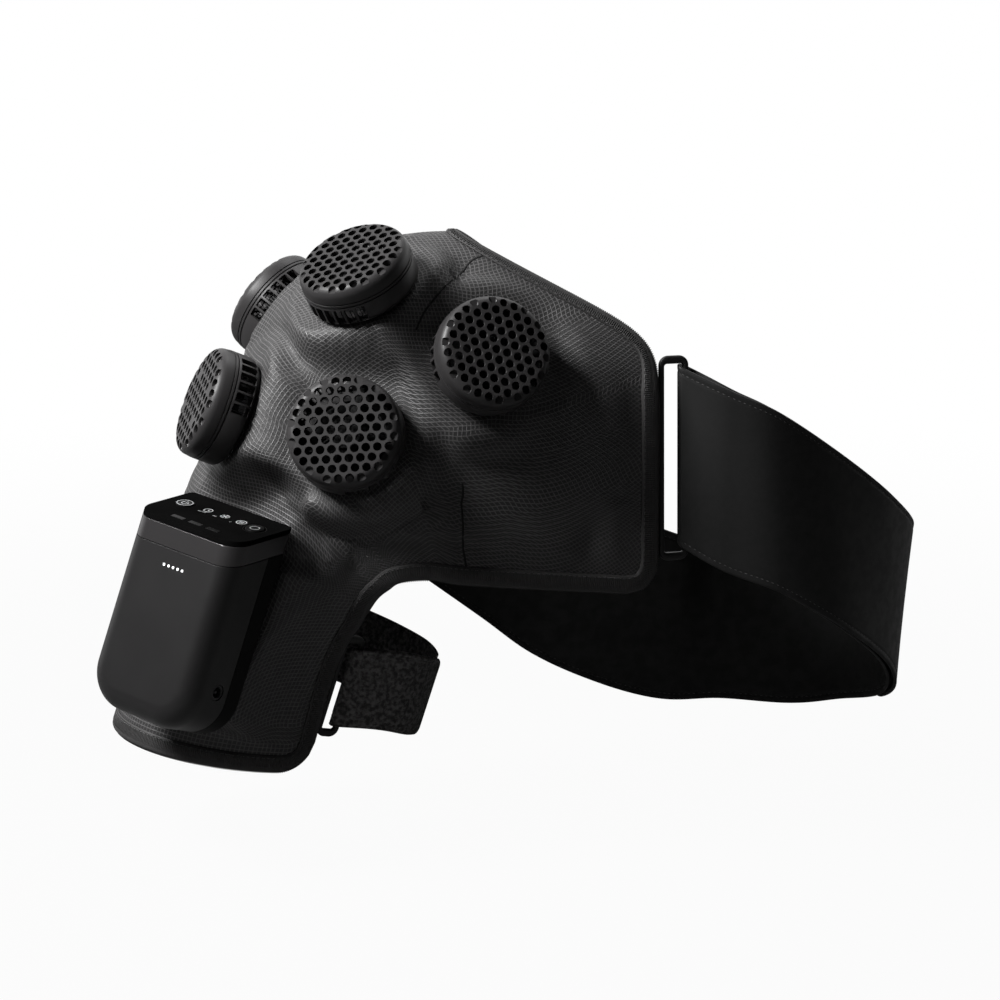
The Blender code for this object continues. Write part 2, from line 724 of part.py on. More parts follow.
def rotor_shapes():
    """Hub with a shaft bore, then its pitched blades."""
    low = -FIT + SINK_THICKNESS + FIN_HEIGHT + FIT
    high = low + ROTOR_HEIGHT
    bore = clear_radius(SHAFT_RADIUS, SMALL_STEPS)
    bore_top = low + ROTOR_HEIGHT / 2 + FIT * 2
    hub = turned(((0, bore_top), (bore, bore_top), (bore, low), (HUB_RADIUS, low), (HUB_RADIUS, high), (0, high)), SMALL_STEPS)
    shapes = [hub]
    reach = (HUB_RADIUS + ROTOR_RADIUS) / 2
    chord = ROTOR_HEIGHT
    for index in range(BLADE_COUNT):
        blade = block(ROTOR_RADIUS - HUB_RADIUS + BLADE_THICKNESS, BLADE_THICKNESS, -chord / 2, chord / 2)
        tilt = Matrix.Rotation(math.radians(40.0), 4, "X")
        turn = Matrix.Rotation(math.tau * index / BLADE_COUNT, 4, "Z")
        place = Matrix.Translation((reach - BLADE_THICKNESS / 2, 0, (low + high) / 2))
        shapes.append(moved(blade, turn @ place @ tilt))
    return shapes


def fuse(item, shapes, name):
    """Join extra shapes to an object with Boolean unions."""
    for index, shape in enumerate(shapes):
        guide = add_object(f"{name}_{index}", shape, "ring_plastic", item.parent)
        guide.hide_render = True
        guide.display_type = "WIRE"
        modifier = item.modifiers.new(guide.name, "BOOLEAN")
        modifier.operation = "UNION"
        modifier.solver = "EXACT"
        modifier.object = guide


def build_module(name, frame_matrix):
    """All the pieces of one module, carried by an empty on its seat."""
    frame = add_frame(name + "_module", frame_matrix @ Matrix.Translation((0, 0, MODULE_LIFT)))
    base = add_object(name + "_base_housing", turned(base_profile(), TURN_STEPS), "module_plastic", frame)
    cut(base, vent_cutters(VENT_TURNS[name]), name + "_vents")
    cap = add_object(name + "_grille_cap", turned(cap_profile(), TURN_STEPS), "module_plastic", frame)
    cut(cap, grille_cutters(), name + "_grille")
    sink = add_object(name + "_heat_sink", sink_shape(), "sink_metal", frame)
    fuse(sink, fin_shapes(), name + "_fin")
    shapes = rotor_shapes()
    rotor = add_object(name + "_fan_rotor", shapes[0], "rotor_plastic", frame)
    fuse(rotor, shapes[1:], name + "_blade")
    tile_top = -FIT * 2
    tile_low = tile_top - TILE_THICKNESS
    add_object(name + "_thermo_tile", block(TILE_SIDE, TILE_SIDE, tile_low, tile_top), "tile_ceramic", frame)
    plate_top = -stack_depth() + LINER_THICKNESS - FIT
    plate = disc(BOSS_RADIUS, plate_top - PLATE_THICKNESS, plate_top, HOLE_STEPS)
    add_object(name + "_contact_plate", plate, "plate_metal", frame)


# Control unit


def unit_outline(inset, height):
    """Front outline of the unit with square top corners and round foot corners."""
    half = UNIT_WIDTH / 2 - inset
    radius = max(UNIT_FOOT_RADIUS - inset, inset)
    points = [(half, height), (-half, height)]
    for side in (-1, 1):
        for index in range(CORNER_STEPS + 1):
            angle = math.pi / 2 * index / CORNER_STEPS
            if side > 0:
                angle = math.pi / 2 - angle
            x = side * (half - radius + radius * math.cos(angle))
            points.append((x, inset + radius - radius * math.sin(angle)))
    return points


def unit_block(wall, back=0.0):
    """Rounded block of the unit inside a wall, from its front face to a depth behind it."""
    tall = UNIT_HEIGHT + UNIT_DEPTH
    rings = []
    for index in range(CORNER_STEPS):
        angle = math.pi / 2 * index / (CORNER_STEPS - 1)
        edge = UNIT_EDGE - wall
        inset = wall + edge * (1 - math.sin(angle))
        depth = -UNIT_DEPTH + wall + edge * (1 - math.cos(angle))
        rings.append([Vector((x, depth, z)) for x, z in unit_outline(inset, tall)])
    rings.append([Vector((x, -UNIT_BACK_EDGE + back, z)) for x, z in unit_outline(wall, tall)])
    if not wall:
        rings.append([Vector((x, 0, z)) for x, z in unit_outline(UNIT_BACK_EDGE, tall)])
    return loft(rings)


def trim(shape, point, direction):
    """Cut away what lies on the far side of a plane and close the cut."""
    geometry = list(shape.verts) + list(shape.edges) + list(shape.faces)
    result = bmesh.ops.bisect_plane(
        shape, geom=geometry, dist=WELD, plane_co=point, plane_no=direction, clear_outer=True,
    )
    edges = [item for item in result["geom_cut"] if isinstance(item, bmesh.types.BMEdge)]
    bmesh.ops.contextual_create(shape, geom=edges)
    bmesh.ops.recalc_face_normals(shape, faces=shape.faces)
    return shape


def slope_plane(drop):
    """Point and direction of the slanted plane a given distance below the panel's face."""
    direction = Vector((0, -math.sin(UNIT_SLOPE), math.cos(UNIT_SLOPE)))
    return Vector((0, -UNIT_DEPTH, UNIT_HEIGHT)) - direction * drop, direction


def panel_frame(drop=0.0):
    """Frame on the slanted panel, its origin midway along the top, +Y towards the back."""
    point, direction = slope_plane(drop)
    middle = point + Vector((0, UNIT_DEPTH / 2, UNIT_DEPTH / 2 * math.tan(UNIT_SLOPE)))
    return Matrix.Translation(middle) @ Matrix.Rotation(UNIT_SLOPE, 4, "X")


def build_unit_housing(frame):
    """Front shell, rear shell and gloss bezel of the control unit."""
    bezel_low = BEZEL_HEIGHT + PANEL_THICKNESS
    front_dir = Vector((0, 1, 0))
    body = trim(unit_block(0), *slope_plane(bezel_low + FIT))
    body = trim(body, Vector((0, -UNIT_SEAM - FIT, 0)), front_dir)
    front = add_object("unit_front_shell", body, "unit_satin", frame)
    hollow = trim(unit_block(UNIT_WALL, OVERRUN), *slope_plane(bezel_low - OVERRUN))
    cut(front, hollow, "unit_front_hollow")
    body = trim(unit_block(0), *slope_plane(bezel_low + FIT))
    body = trim(body, Vector((0, -UNIT_SEAM, 0)), -front_dir)
    rear = add_object("unit_rear_shell", body, "unit_rear", frame)
    hollow = trim(unit_block(UNIT_WALL, 0), *slope_plane(bezel_low - OVERRUN))
    cut(rear, hollow, "unit_rear_hollow")
    body = trim(unit_block(0), *slope_plane(PANEL_THICKNESS + FIT))
    low_point, low_dir = slope_plane(bezel_low)
    bezel = add_object("unit_bezel", trim(body, low_point, -low_dir), "bezel_gloss", frame)
    cut(bezel, unit_block(UNIT_WALL, 0), "unit_bezel_hollow")
    return front, rear


def button_places():
    """Places of the two round buttons and the three keys on the panel, as x and y."""
    side = UNIT_WIDTH / 2 - UNIT_EDGE
    middle = UNIT_DEPTH / 2 - UNIT_EDGE
    row = -UNIT_DEPTH / 2 + KEY_DEPTH * 2
    return {
        "power_button": (-side, middle - BUTTON_RADIUS),
        "mode_button": (side, middle - BUTTON_RADIUS),
        "timer_key": (-KEY_WIDTH * 1.4, row),
        "cold_key": (0, row),
        "heat_key": (KEY_WIDTH * 1.4, row),
    }


def plunger(name):
    """Cap and skirt of one button or key, built on the panel's face."""
    low = -PANEL_THICKNESS - BUTTON_TRAVEL
    skirt = low - BUTTON_SKIRT
    if name.endswith("button"):
        wide = BUTTON_RADIUS + BUTTON_SKIRT
        profile = ((0, skirt), (wide, skirt), (wide, low), (BUTTON_RADIUS, low), (BUTTON_RADIUS, BUTTON_RISE), (0, BUTTON_RISE))
        return turned(profile, HOLE_STEPS)
    rings = []
    for grow, height in ((BUTTON_SKIRT, skirt), (BUTTON_SKIRT, low), (0, low), (0, 0)):
        half_x = KEY_WIDTH / 2 + grow
        half_y = KEY_DEPTH / 2 + grow
        rings.append([Vector((x, y, height)) for x, y in ((half_x, half_y), (-half_x, half_y), (-half_x, -half_y), (half_x, -half_y))])
    return loft(rings)


def build_panel(frame):
    """Gloss panel with its two buttons and three keys."""
    body = trim(unit_block(0), *slope_plane(0))
    low_point, low_dir = slope_plane(PANEL_THICKNESS)
    panel = add_object("unit_top_panel", trim(body, low_point, -low_dir), "panel_gloss", frame)
    face = add_frame("panel_face", panel_frame(), frame)
    holes = []
    for name, (x, y) in button_places().items():
        place = Matrix.Translation((x, y, 0))
        if name.endswith("button"):
            hole = disc(clear_radius(BUTTON_RADIUS, HOLE_STEPS), -PANEL_THICKNESS - OVERRUN, OVERRUN, HOLE_STEPS)
        else:
            hole = block(KEY_WIDTH + FIT * 2, KEY_DEPTH + FIT * 2, -PANEL_THICKNESS - OVERRUN, OVERRUN)
        holes.append(moved(hole, panel_frame() @ place))
        item = add_object(name, plunger(name), "button_plastic", face)
        item.location = (x, y, 0)
    cut(panel, joined(holes), "panel_holes")


def build_unit_inside(frame, front):
    """Cells, board, status lights and charging socket of the control unit."""
    pitch = CELL_RADIUS * 2 + FIT * 2
    for index in range(CELL_COUNT):
        x = (index - (CELL_COUNT - 1) / 2) * pitch
        cell = disc(CELL_RADIUS, 0, CELL_LENGTH, SMALL_STEPS)
        item = add_object(f"battery_cell_{index + 1}", cell, "cell_wrap", frame)
        item.location = (x, -UNIT_BACK_EDGE - BOARD_THICKNESS - FIT * 2 - CELL_RADIUS, UNIT_WALL + UNIT_EDGE)
    board = block(BOARD_WIDTH, BOARD_THICKNESS, 0, BOARD_HEIGHT)
    item = add_object("circuit_board", board, "board_laminate", frame)
    item.location = (0, -UNIT_BACK_EDGE - FIT - BOARD_THICKNESS / 2, UNIT_WALL + UNIT_FOOT_RADIUS / 2)
    build_status_lights(frame, front)
    build_jack(frame, front)


def build_status_lights(frame, front):
    """Row of light pips on one bar behind the front wall."""
    height = UNIT_HEIGHT - BEZEL_HEIGHT - PANEL_THICKNESS - LIGHT_PITCH * 3
    wall = -UNIT_DEPTH + UNIT_WALL
    bar_depth = LIGHT_RADIUS * 2
    bar = block(LIGHT_PITCH * LIGHT_COUNT, bar_depth, -LIGHT_RADIUS * 2, LIGHT_RADIUS * 2)
    lights = add_object("status_lights", moved(bar, Matrix.Translation((0, wall + FIT + bar_depth / 2, height))), "light_pipe", frame)
    aim = Matrix.Rotation(math.pi / 2, 4, "X")
    pips = []
    holes = []
    for index in range(LIGHT_COUNT):
        x = (index - (LIGHT_COUNT - 1) / 2) * LIGHT_PITCH
        place = Matrix.Translation((x, wall, height)) @ aim
        pips.append(moved(disc(LIGHT_RADIUS, -LIGHT_RADIUS, UNIT_WALL, 6), place))
        holes.append(moved(disc(clear_radius(LIGHT_RADIUS, 6), -OVERRUN, UNIT_WALL + OVERRUN, 6), place))
    fuse(lights, pips, "light_pip")
    cut(front, joined(holes), "light_holes")


def build_jack(frame, front):
    """Round charging socket in the side wall near the foot."""
    outer = UNIT_WIDTH / 2
    place = Matrix.Translation((outer, -UNIT_SEAM - JACK_RADIUS * 2, UNIT_FOOT_RADIUS + JACK_RADIUS)) @ Matrix.Rotation(-math.pi / 2, 4, "Y")
    low = FIT
    profile = (
        (0, JACK_LENGTH), (JACK_RADIUS, JACK_LENGTH), (JACK_RADIUS, low), (JACK_BORE, low),
        (JACK_BORE, JACK_LENGTH - JACK_PIN), (JACK_PIN, JACK_LENGTH - JACK_PIN), (JACK_PIN, low + JACK_PIN), (0, low + JACK_PIN),
    )
    add_object("charging_jack", moved(turned(profile, SMALL_STEPS), place), "jack_metal", frame)
    hole = moved(disc(clear_radius(JACK_RADIUS, SMALL_STEPS), -OVERRUN, UNIT_WALL + OVERRUN, SMALL_STEPS), place)
    cut(front, hole, "jack_hole")


def build_unit(wrap):
    """Control unit on its cradle, carried by an empty at the middle of its back face."""
    foot = Matrix.Translation((0, -UNIT_HEIGHT / 2, CRADLE_THICKNESS + FIT * 2))
    turn = Matrix.Rotation(math.pi / 2, 4, "X")
    frame = add_frame("control_unit", wrap.unit @ foot @ turn.inverted())
    front, rear = build_unit_housing(frame)
    build_panel(frame)
    build_unit_inside(frame, front)
    seat = add_frame("cradle_seat", wrap.unit)
    cradle = block(CRADLE_WIDTH, CRADLE_HEIGHT, FIT, FIT + CRADLE_THICKNESS)
    add_object("unit_cradle", cradle, "unit_rear", seat)


# Rings and straps


def ring_outline(width, height, radius):
    """Rounded rectangle centred on the origin."""
    points = []
    for turn, (x, y) in enumerate(((1, 1), (-1, 1), (-1, -1), (1, -1))):
        for index in range(CORNER_STEPS):
            angle = math.pi / 2 * (turn + index / (CORNER_STEPS - 1))
            px = x * (width / 2 - radius) + radius * math.cos(angle)
            points.append((px, y * (height / 2 - radius) + radius * math.sin(angle)))
    return points


def edge_frame(ends, inner_ends):
    """Frame midway between two edge points: +X outwards in the surface, +Y along, +Z off it."""
    low, high = ends
    middle = (low + high) / 2
    y_axis = (high - low).normalized()
    run = middle - (inner_ends[0] + inner_ends[1]) / 2
    x_axis = (run - y_axis * run.dot(y_axis)).normalized()
    frame = Matrix((x_axis, y_axis, x_axis.cross(y_axis))).transposed().to_4x4()
    frame.translation = middle
    return frame


def torso_ring_frame(wrap):
    """Frame on the chest panel's upright edge where the torso ring is sewn."""
    columns = (TORSO_RING_COLUMN + TORSO_RING_SPAN, TORSO_RING_COLUMN - TORSO_RING_SPAN)
    ends = [wrap.surface(1, column) for column in columns]
    inner = [wrap.surface(1 - EDGE_STEP_SHARE, column) for column in columns]
    return edge_frame(ends, inner)


def arm_ring_frame(wrap):
    """Frame on the arm panel's front edge where the arm ring is sewn."""
    rows = (ARM_RING_ROW - ARM_RING_SPAN, ARM_RING_ROW + ARM_RING_SPAN)
    ends = [wrap.surface(row, 1) for row in rows]
    inner = [wrap.surface(row, 1 - EDGE_STEP_SHARE) for row in rows]
    return edge_frame(ends, inner)


def ring_start():
    """Distance from the wrap's edge to the near side of a ring."""
    return TAPE_GAP + TAPE_THICKNESS + RING_GAP


def bar_centre(frame, slot_width):
    """Middle of a ring's outer bar in the world."""
    return frame @ Vector((ring_start() + RING_BAR * 1.5 + slot_width, 0, -RING_SINK))


def build_ring(node, frame, slot_width, slot_height):
    """One slotted ring: rounded body, slot, and a sewing tab stepped under the wrap's edge."""
    start = ring_start()
    width = slot_width + RING_BAR * 2
    height = slot_height + RING_BAR * 3
    middle = start + width / 2
    half = RING_THICKNESS / 2
    seat = add_frame(node + "_seat", frame)
    outline = ring_outline(width, height, RING_CORNER)
    rings = [[Vector((middle + x, y, z - RING_SINK)) for x, y in outline] for z in (-half, half)]
    item = add_object(node, loft(rings), "ring_plastic", seat)
    top = -stack_depth() - TAPE_GAP - TAPE_THICKNESS - FIT * 4
    low = top - RING_TAB_THICKNESS
    tall = slot_height * RING_TAB_SHARE
    tab = block(RING_TAB, tall, low, top)
    web = block(RING_BAR, tall, low, -RING_SINK)
    shapes = [
        moved(tab, Matrix.Translation((start + RING_BAR / 2 - RING_TAB / 2, 0, 0))),
        moved(web, Matrix.Translation((start + RING_BAR / 2, 0, 0))),
    ]
    fuse(item, shapes, node + "_tab")
    outline = ring_outline(slot_width, slot_height, RING_BAR / 2)
    rings = [[Vector((middle + x, y, z - RING_SINK)) for x, y in outline] for z in (-OVERRUN, OVERRUN)]
    cut(item, loft(rings), node + "_slot")


def ribbon(stations, thickness):
    """Closed band through stations of (centre, half width vector, outward direction)."""
    rings = []
    half = thickness / 2
    for centre, side, out in stations:
        lift = out * half
        rings.append([centre + side + lift, centre - side + lift, centre - side - lift, centre + side - lift])
    shape = loft(rings)
    faces = [face for face in shape.faces if len(face.verts) == 4]
    bmesh.ops.triangulate(shape, faces=faces, quad_method="SHORT_EDGE")
    return shape


def band_edges(frame):
    """Lower and upper edge points of the torso band, from the ring's outer bar."""
    scale = (STRAP_LENGTH, STRAP_DEPTH, STRAP_DROP)
    edge = Vector((SHELL_WIDTH * CHEST_EDGE_SHARE, 0, 0))
    bar = bar_centre(frame, RING_SLOT_WIDTH)
    side = frame.to_3x3() @ Vector((0, STRAP_WIDTH / 2, 0))
    low = [bar - side]
    high = [bar + side]
    for row in BAND_SHARES:
        low.append(edge + Vector([share * size for share, size in zip(row[:3], scale)]))
        high.append(edge + Vector([share * size for share, size in zip(row[3:], scale)]))
    return low, high


def band_station(low, high, share, offset):
    """Station of the torso band at a share of its run, moved outwards by an offset."""
    step = 0.5 / BAND_STEPS
    foot = curve_point(low, share)
    head = curve_point(high, share)
    centre = (foot + head) / 2
    ahead = (curve_point(low, min(share + step, 1)) + curve_point(high, min(share + step, 1))) / 2
    behind = (curve_point(low, max(share - step, 0)) + curve_point(high, max(share - step, 0))) / 2
    side = (head - foot).normalized() * STRAP_WIDTH / 2
    out = side.cross(behind - ahead).normalized()
    return centre + out * offset, side, out


def bar_reach():
    """Distance from the middle of a ring's bar to the inside of a strap that wraps it."""
    return math.hypot(RING_BAR, RING_THICKNESS) / 2 + FIT * 1.5


def layer_offset(share, reach, settled):
    """Distance of a strap layer from the mid plane: wide at the ring, closing along the run."""
    return settled + (reach - settled) * fade(share, 0, CLOSE_SHARE)


def strap_stations(station, steps, return_steps, reach, settled):
    """Stations of a strap from its sewn end to its ring's bar, round the bar and back."""
    stations = []
    for index in range(steps, -1, -1):
        share = index / steps
        stations.append(station(share, -layer_offset(share, reach, settled)))
    centre, side, out = station(0, 0)
    along = (centre - station(1 / steps, 0)[0]).normalized()
    for index in range(1, BEND_STEPS):
        angle = math.pi * index / BEND_STEPS
        direction = along * math.sin(angle) - out * math.cos(angle)
        stations.append((centre + direction * reach, side, -direction))
    for index in range(return_steps + 1):
        share = index / steps
        point, half, out = station(share, layer_offset(share, reach, settled))
        stations.append((point, half, -out))
    return stations


def patch_stations(station, steps, return_steps):
    """Stations of the hook tape that lies between the two layers at the strap's free end."""
    stations = []
    for index in range(return_steps - HOOK_STEPS, return_steps + 1):
        point, half, out = station(index / steps, 0)
        stations.append((point, half * HOOK_WIDTH_SHARE, out))
    return stations


def build_torso_strap(frame):
    """Wide strap from the back panel round to the ring, folded through it and back on itself."""
    low, high = band_edges(frame)

    def station(share, offset):
        return band_station(low, high, share, offset)

    reach = bar_reach() + STRAP_THICKNESS / 2
    settled = (STRAP_THICKNESS + HOOK_THICKNESS) / 2 + FIT * 1.5
    strap = strap_stations(station, BAND_STEPS, BAND_RETURN_STEPS, reach, settled)
    add_object("torso_strap", ribbon(strap, STRAP_THICKNESS), "strap_web")
    patch = patch_stations(station, BAND_STEPS, BAND_RETURN_STEPS)
    add_object("torso_hook_patch", ribbon(patch, HOOK_THICKNESS), "hook_tape")


def arm_station(points, ring_side, share, offset):
    """Station of the arm strap at a share of its run, moved outwards by an offset."""
    step = 0.5 / ARM_BAND_STEPS
    centre = curve_point(points, share)
    run = curve_point(points, max(share - step, 0)) - curve_point(points, min(share + step, 1))
    side = ring_side.lerp(Vector(ARM_GENERATOR), share).normalized() * ARM_STRAP_WIDTH / 2
    out = side.cross(run).normalized()
    return centre + out * offset, side, out


def build_arm_strap(frame):
    """Narrow strap from the arm panel's back edge round to its ring and back on itself."""
    points = [bar_centre(frame, ARM_RING_SLOT_WIDTH)]
    points += [Vector((x * ARM_LOOP, y * ARM_LOOP, z * SHELL_HEIGHT)) for x, y, z in ARM_BAND_SHARES]
    ring_side = frame.to_3x3() @ Vector((0, 1, 0))

    def station(share, offset):
        return arm_station(points, ring_side, share, offset)

    reach = bar_reach() + ARM_STRAP_THICKNESS / 2
    settled = (ARM_STRAP_THICKNESS + HOOK_THICKNESS) / 2 + FIT
    strap = strap_stations(station, ARM_BAND_STEPS, ARM_RETURN_STEPS, reach, settled)
    add_object("arm_strap", ribbon(strap, ARM_STRAP_THICKNESS), "loop_pile")
    patch = patch_stations(station, ARM_BAND_STEPS, ARM_RETURN_STEPS)
    add_object("arm_hook_patch", ribbon(patch, HOOK_THICKNESS), "hook_tape")


def main():
    """Build the whole wrap."""
    clear_scene()
    wrap = Wrap()
    build_shell(wrap)
    build_binding(wrap)
    for name, frame in wrap.seats.items():
        build_module(name, frame)
    build_unit(wrap)
    torso_frame = torso_ring_frame(wrap)
    build_ring("torso_ring", torso_frame, RING_SLOT_WIDTH, RING_SLOT_HEIGHT)
    build_torso_strap(torso_frame)
    arm_frame = arm_ring_frame(wrap)
    build_ring("arm_ring", arm_frame, ARM_RING_SLOT_WIDTH, ARM_RING_SLOT_HEIGHT)
    build_arm_strap(arm_frame)


main()
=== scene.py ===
"""Dressed scene of a shoulder wrap that warms and cools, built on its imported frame."""

import json
import logging
import math
from dataclasses import dataclass, field
from enum import Enum
from typing import Iterable, Sequence

import bmesh
import bpy
from mathutils import Matrix, Vector, noise
from mathutils.bvhtree import BVHTree
from mathutils.kdtree import KDTree

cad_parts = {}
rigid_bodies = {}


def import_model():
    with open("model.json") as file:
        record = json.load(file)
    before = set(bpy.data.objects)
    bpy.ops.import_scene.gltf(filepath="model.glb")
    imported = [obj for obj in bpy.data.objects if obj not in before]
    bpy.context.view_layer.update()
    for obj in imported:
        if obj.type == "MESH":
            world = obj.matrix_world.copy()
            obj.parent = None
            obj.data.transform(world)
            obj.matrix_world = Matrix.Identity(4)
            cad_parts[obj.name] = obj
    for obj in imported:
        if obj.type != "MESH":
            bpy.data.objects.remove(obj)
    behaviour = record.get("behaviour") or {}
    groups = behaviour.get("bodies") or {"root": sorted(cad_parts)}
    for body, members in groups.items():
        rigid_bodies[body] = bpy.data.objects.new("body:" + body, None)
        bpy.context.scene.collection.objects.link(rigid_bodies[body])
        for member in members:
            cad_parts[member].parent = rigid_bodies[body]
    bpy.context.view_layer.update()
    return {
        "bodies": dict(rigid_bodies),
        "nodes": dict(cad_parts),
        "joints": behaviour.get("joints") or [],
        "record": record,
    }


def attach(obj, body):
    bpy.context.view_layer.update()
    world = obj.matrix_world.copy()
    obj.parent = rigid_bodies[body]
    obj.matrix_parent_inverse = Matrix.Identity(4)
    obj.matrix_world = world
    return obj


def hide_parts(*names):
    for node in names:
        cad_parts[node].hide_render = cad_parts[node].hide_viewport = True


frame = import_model()
log = logging.getLogger("shoulder_wrap")

MM = 0.001
GROW = 1000.0
WRAP_BODY = "wrap"
FULL_SIZE = (1, 1, 1)
MERGE = 0.001 * MM
SHARP_EDGE = 35.0
MOULDED_CREASE = 34.0


class Texture(Enum):
    """The fine surface that a finish carries."""

    RIPSTOP = "ripstop"
    WEAVE = "plain_weave"
    PILE = "brushed_pile"
    FILM = "pebbled_film"
    GRAIN = "moulded_grain"
    BRUSHED = "brushed_metal"


class Place(Enum):
    """The coordinates that a finish is laid out on."""

    OBJECT = "Object"
    UV = "UV"


class Tree:
    """A node tree under construction, with short calls that add and link its nodes."""

    def __init__(self, tree: bpy.types.NodeTree) -> None:
        """Start on a shader, group or geometry tree."""
        self.tree = tree

    def feed(self, socket: bpy.types.NodeSocket, value: object) -> None:
        """Link a socket or set its value.

        Args:
            socket: the input to feed.
            value: an output socket, or a plain value.
        """
        if isinstance(value, bpy.types.NodeSocket):
            self.tree.links.new(value, socket)
        else:
            socket.default_value = value

    def add(self, kind: str, settings: dict | None = None, **inputs: object) -> bpy.types.Node:
        """Add a node.

        Args:
            kind: the node's type name.
            settings: plain properties of the node.
            inputs: input values by socket name, with _ for a space, or by place as s0, s1.

        Returns:
            The new node.
        """
        node = self.tree.nodes.new(kind)
        for name, value in (settings or {}).items():
            setattr(node, name, value)
        for name, value in inputs.items():
            by_place = name[0] == "s" and name[1:].isdigit()
            key = int(name[1:]) if by_place else name.replace("_", " ")
            self.feed(node.inputs[key], value)
        return node

    def math(self, operation: str, *values: object) -> bpy.types.NodeSocket:
        """Add a Math node and return its result.

        Args:
            operation: the Math node's operation.
            values: its inputs in order.

        Returns:
            The result socket.
        """
        node = self.add("ShaderNodeMath", {"operation": operation})
        for socket, value in zip(node.inputs, values):
            self.feed(socket, value)
        return node.outputs[0]

    def ramp(
        self, value: object, low: object, high: object, first: object, last: object,
    ) -> bpy.types.NodeSocket:
        """Map a value smoothly from one range to another.

        Args:
            value: the value to map.
            low: where the range starts.
            high: where the range ends.
            first: result at the start.
            last: result at the end.

        Returns:
            The mapped value.
        """
        node = self.add("ShaderNodeMapRange", {"interpolation_type": "SMOOTHSTEP"})
        for socket, item in zip(node.inputs, (value, low, high, first, last)):
            self.feed(socket, item)
        return node.outputs[0]

    def noise(self, vector: object, scale: object, detail: float = 3.0) -> bpy.types.NodeSocket:
        """Add a noise texture read at a vector, scaled in repeats per metre, and return its factor."""
        return self.add("ShaderNodeTexNoise", Vector=vector, Scale=scale, Detail=detail).outputs[0]


def new_group(name: str, pitch: float) -> tuple[Tree, bpy.types.NodeSocket, bpy.types.NodeSocket]:
    """Start a shader group with Vector and Pitch inputs and Height and Tone outputs.

    Args:
        name: the group's name.
        pitch: the pitch that it starts with.

    Returns:
        The group's builder, its vector and its pitch.
    """
    group = bpy.data.node_groups.new(name, "ShaderNodeTree")
    group.interface.new_socket("Vector", in_out="INPUT", socket_type="NodeSocketVector")
    socket = group.interface.new_socket("Pitch", in_out="INPUT", socket_type="NodeSocketFloat")
    socket.default_value = pitch
    for label in ("Height", "Tone"):
        group.interface.new_socket(label, in_out="OUTPUT", socket_type="NodeSocketFloat")
    tree = Tree(group)
    given = tree.add("NodeGroupInput")
    return tree, given.outputs["Vector"], given.outputs["Pitch"]


def close_group(tree: Tree, height: bpy.types.NodeSocket, tone: bpy.types.NodeSocket) -> bpy.types.NodeTree:
    """Feed a group's two outputs.

    Args:
        tree: the group's builder.
        height: relief, from 0 to 1.
        tone: lightness, from 0 to 1.

    Returns:
        The finished group.
    """
    tree.add("NodeGroupOutput", Height=height, Tone=tone)
    return tree.tree


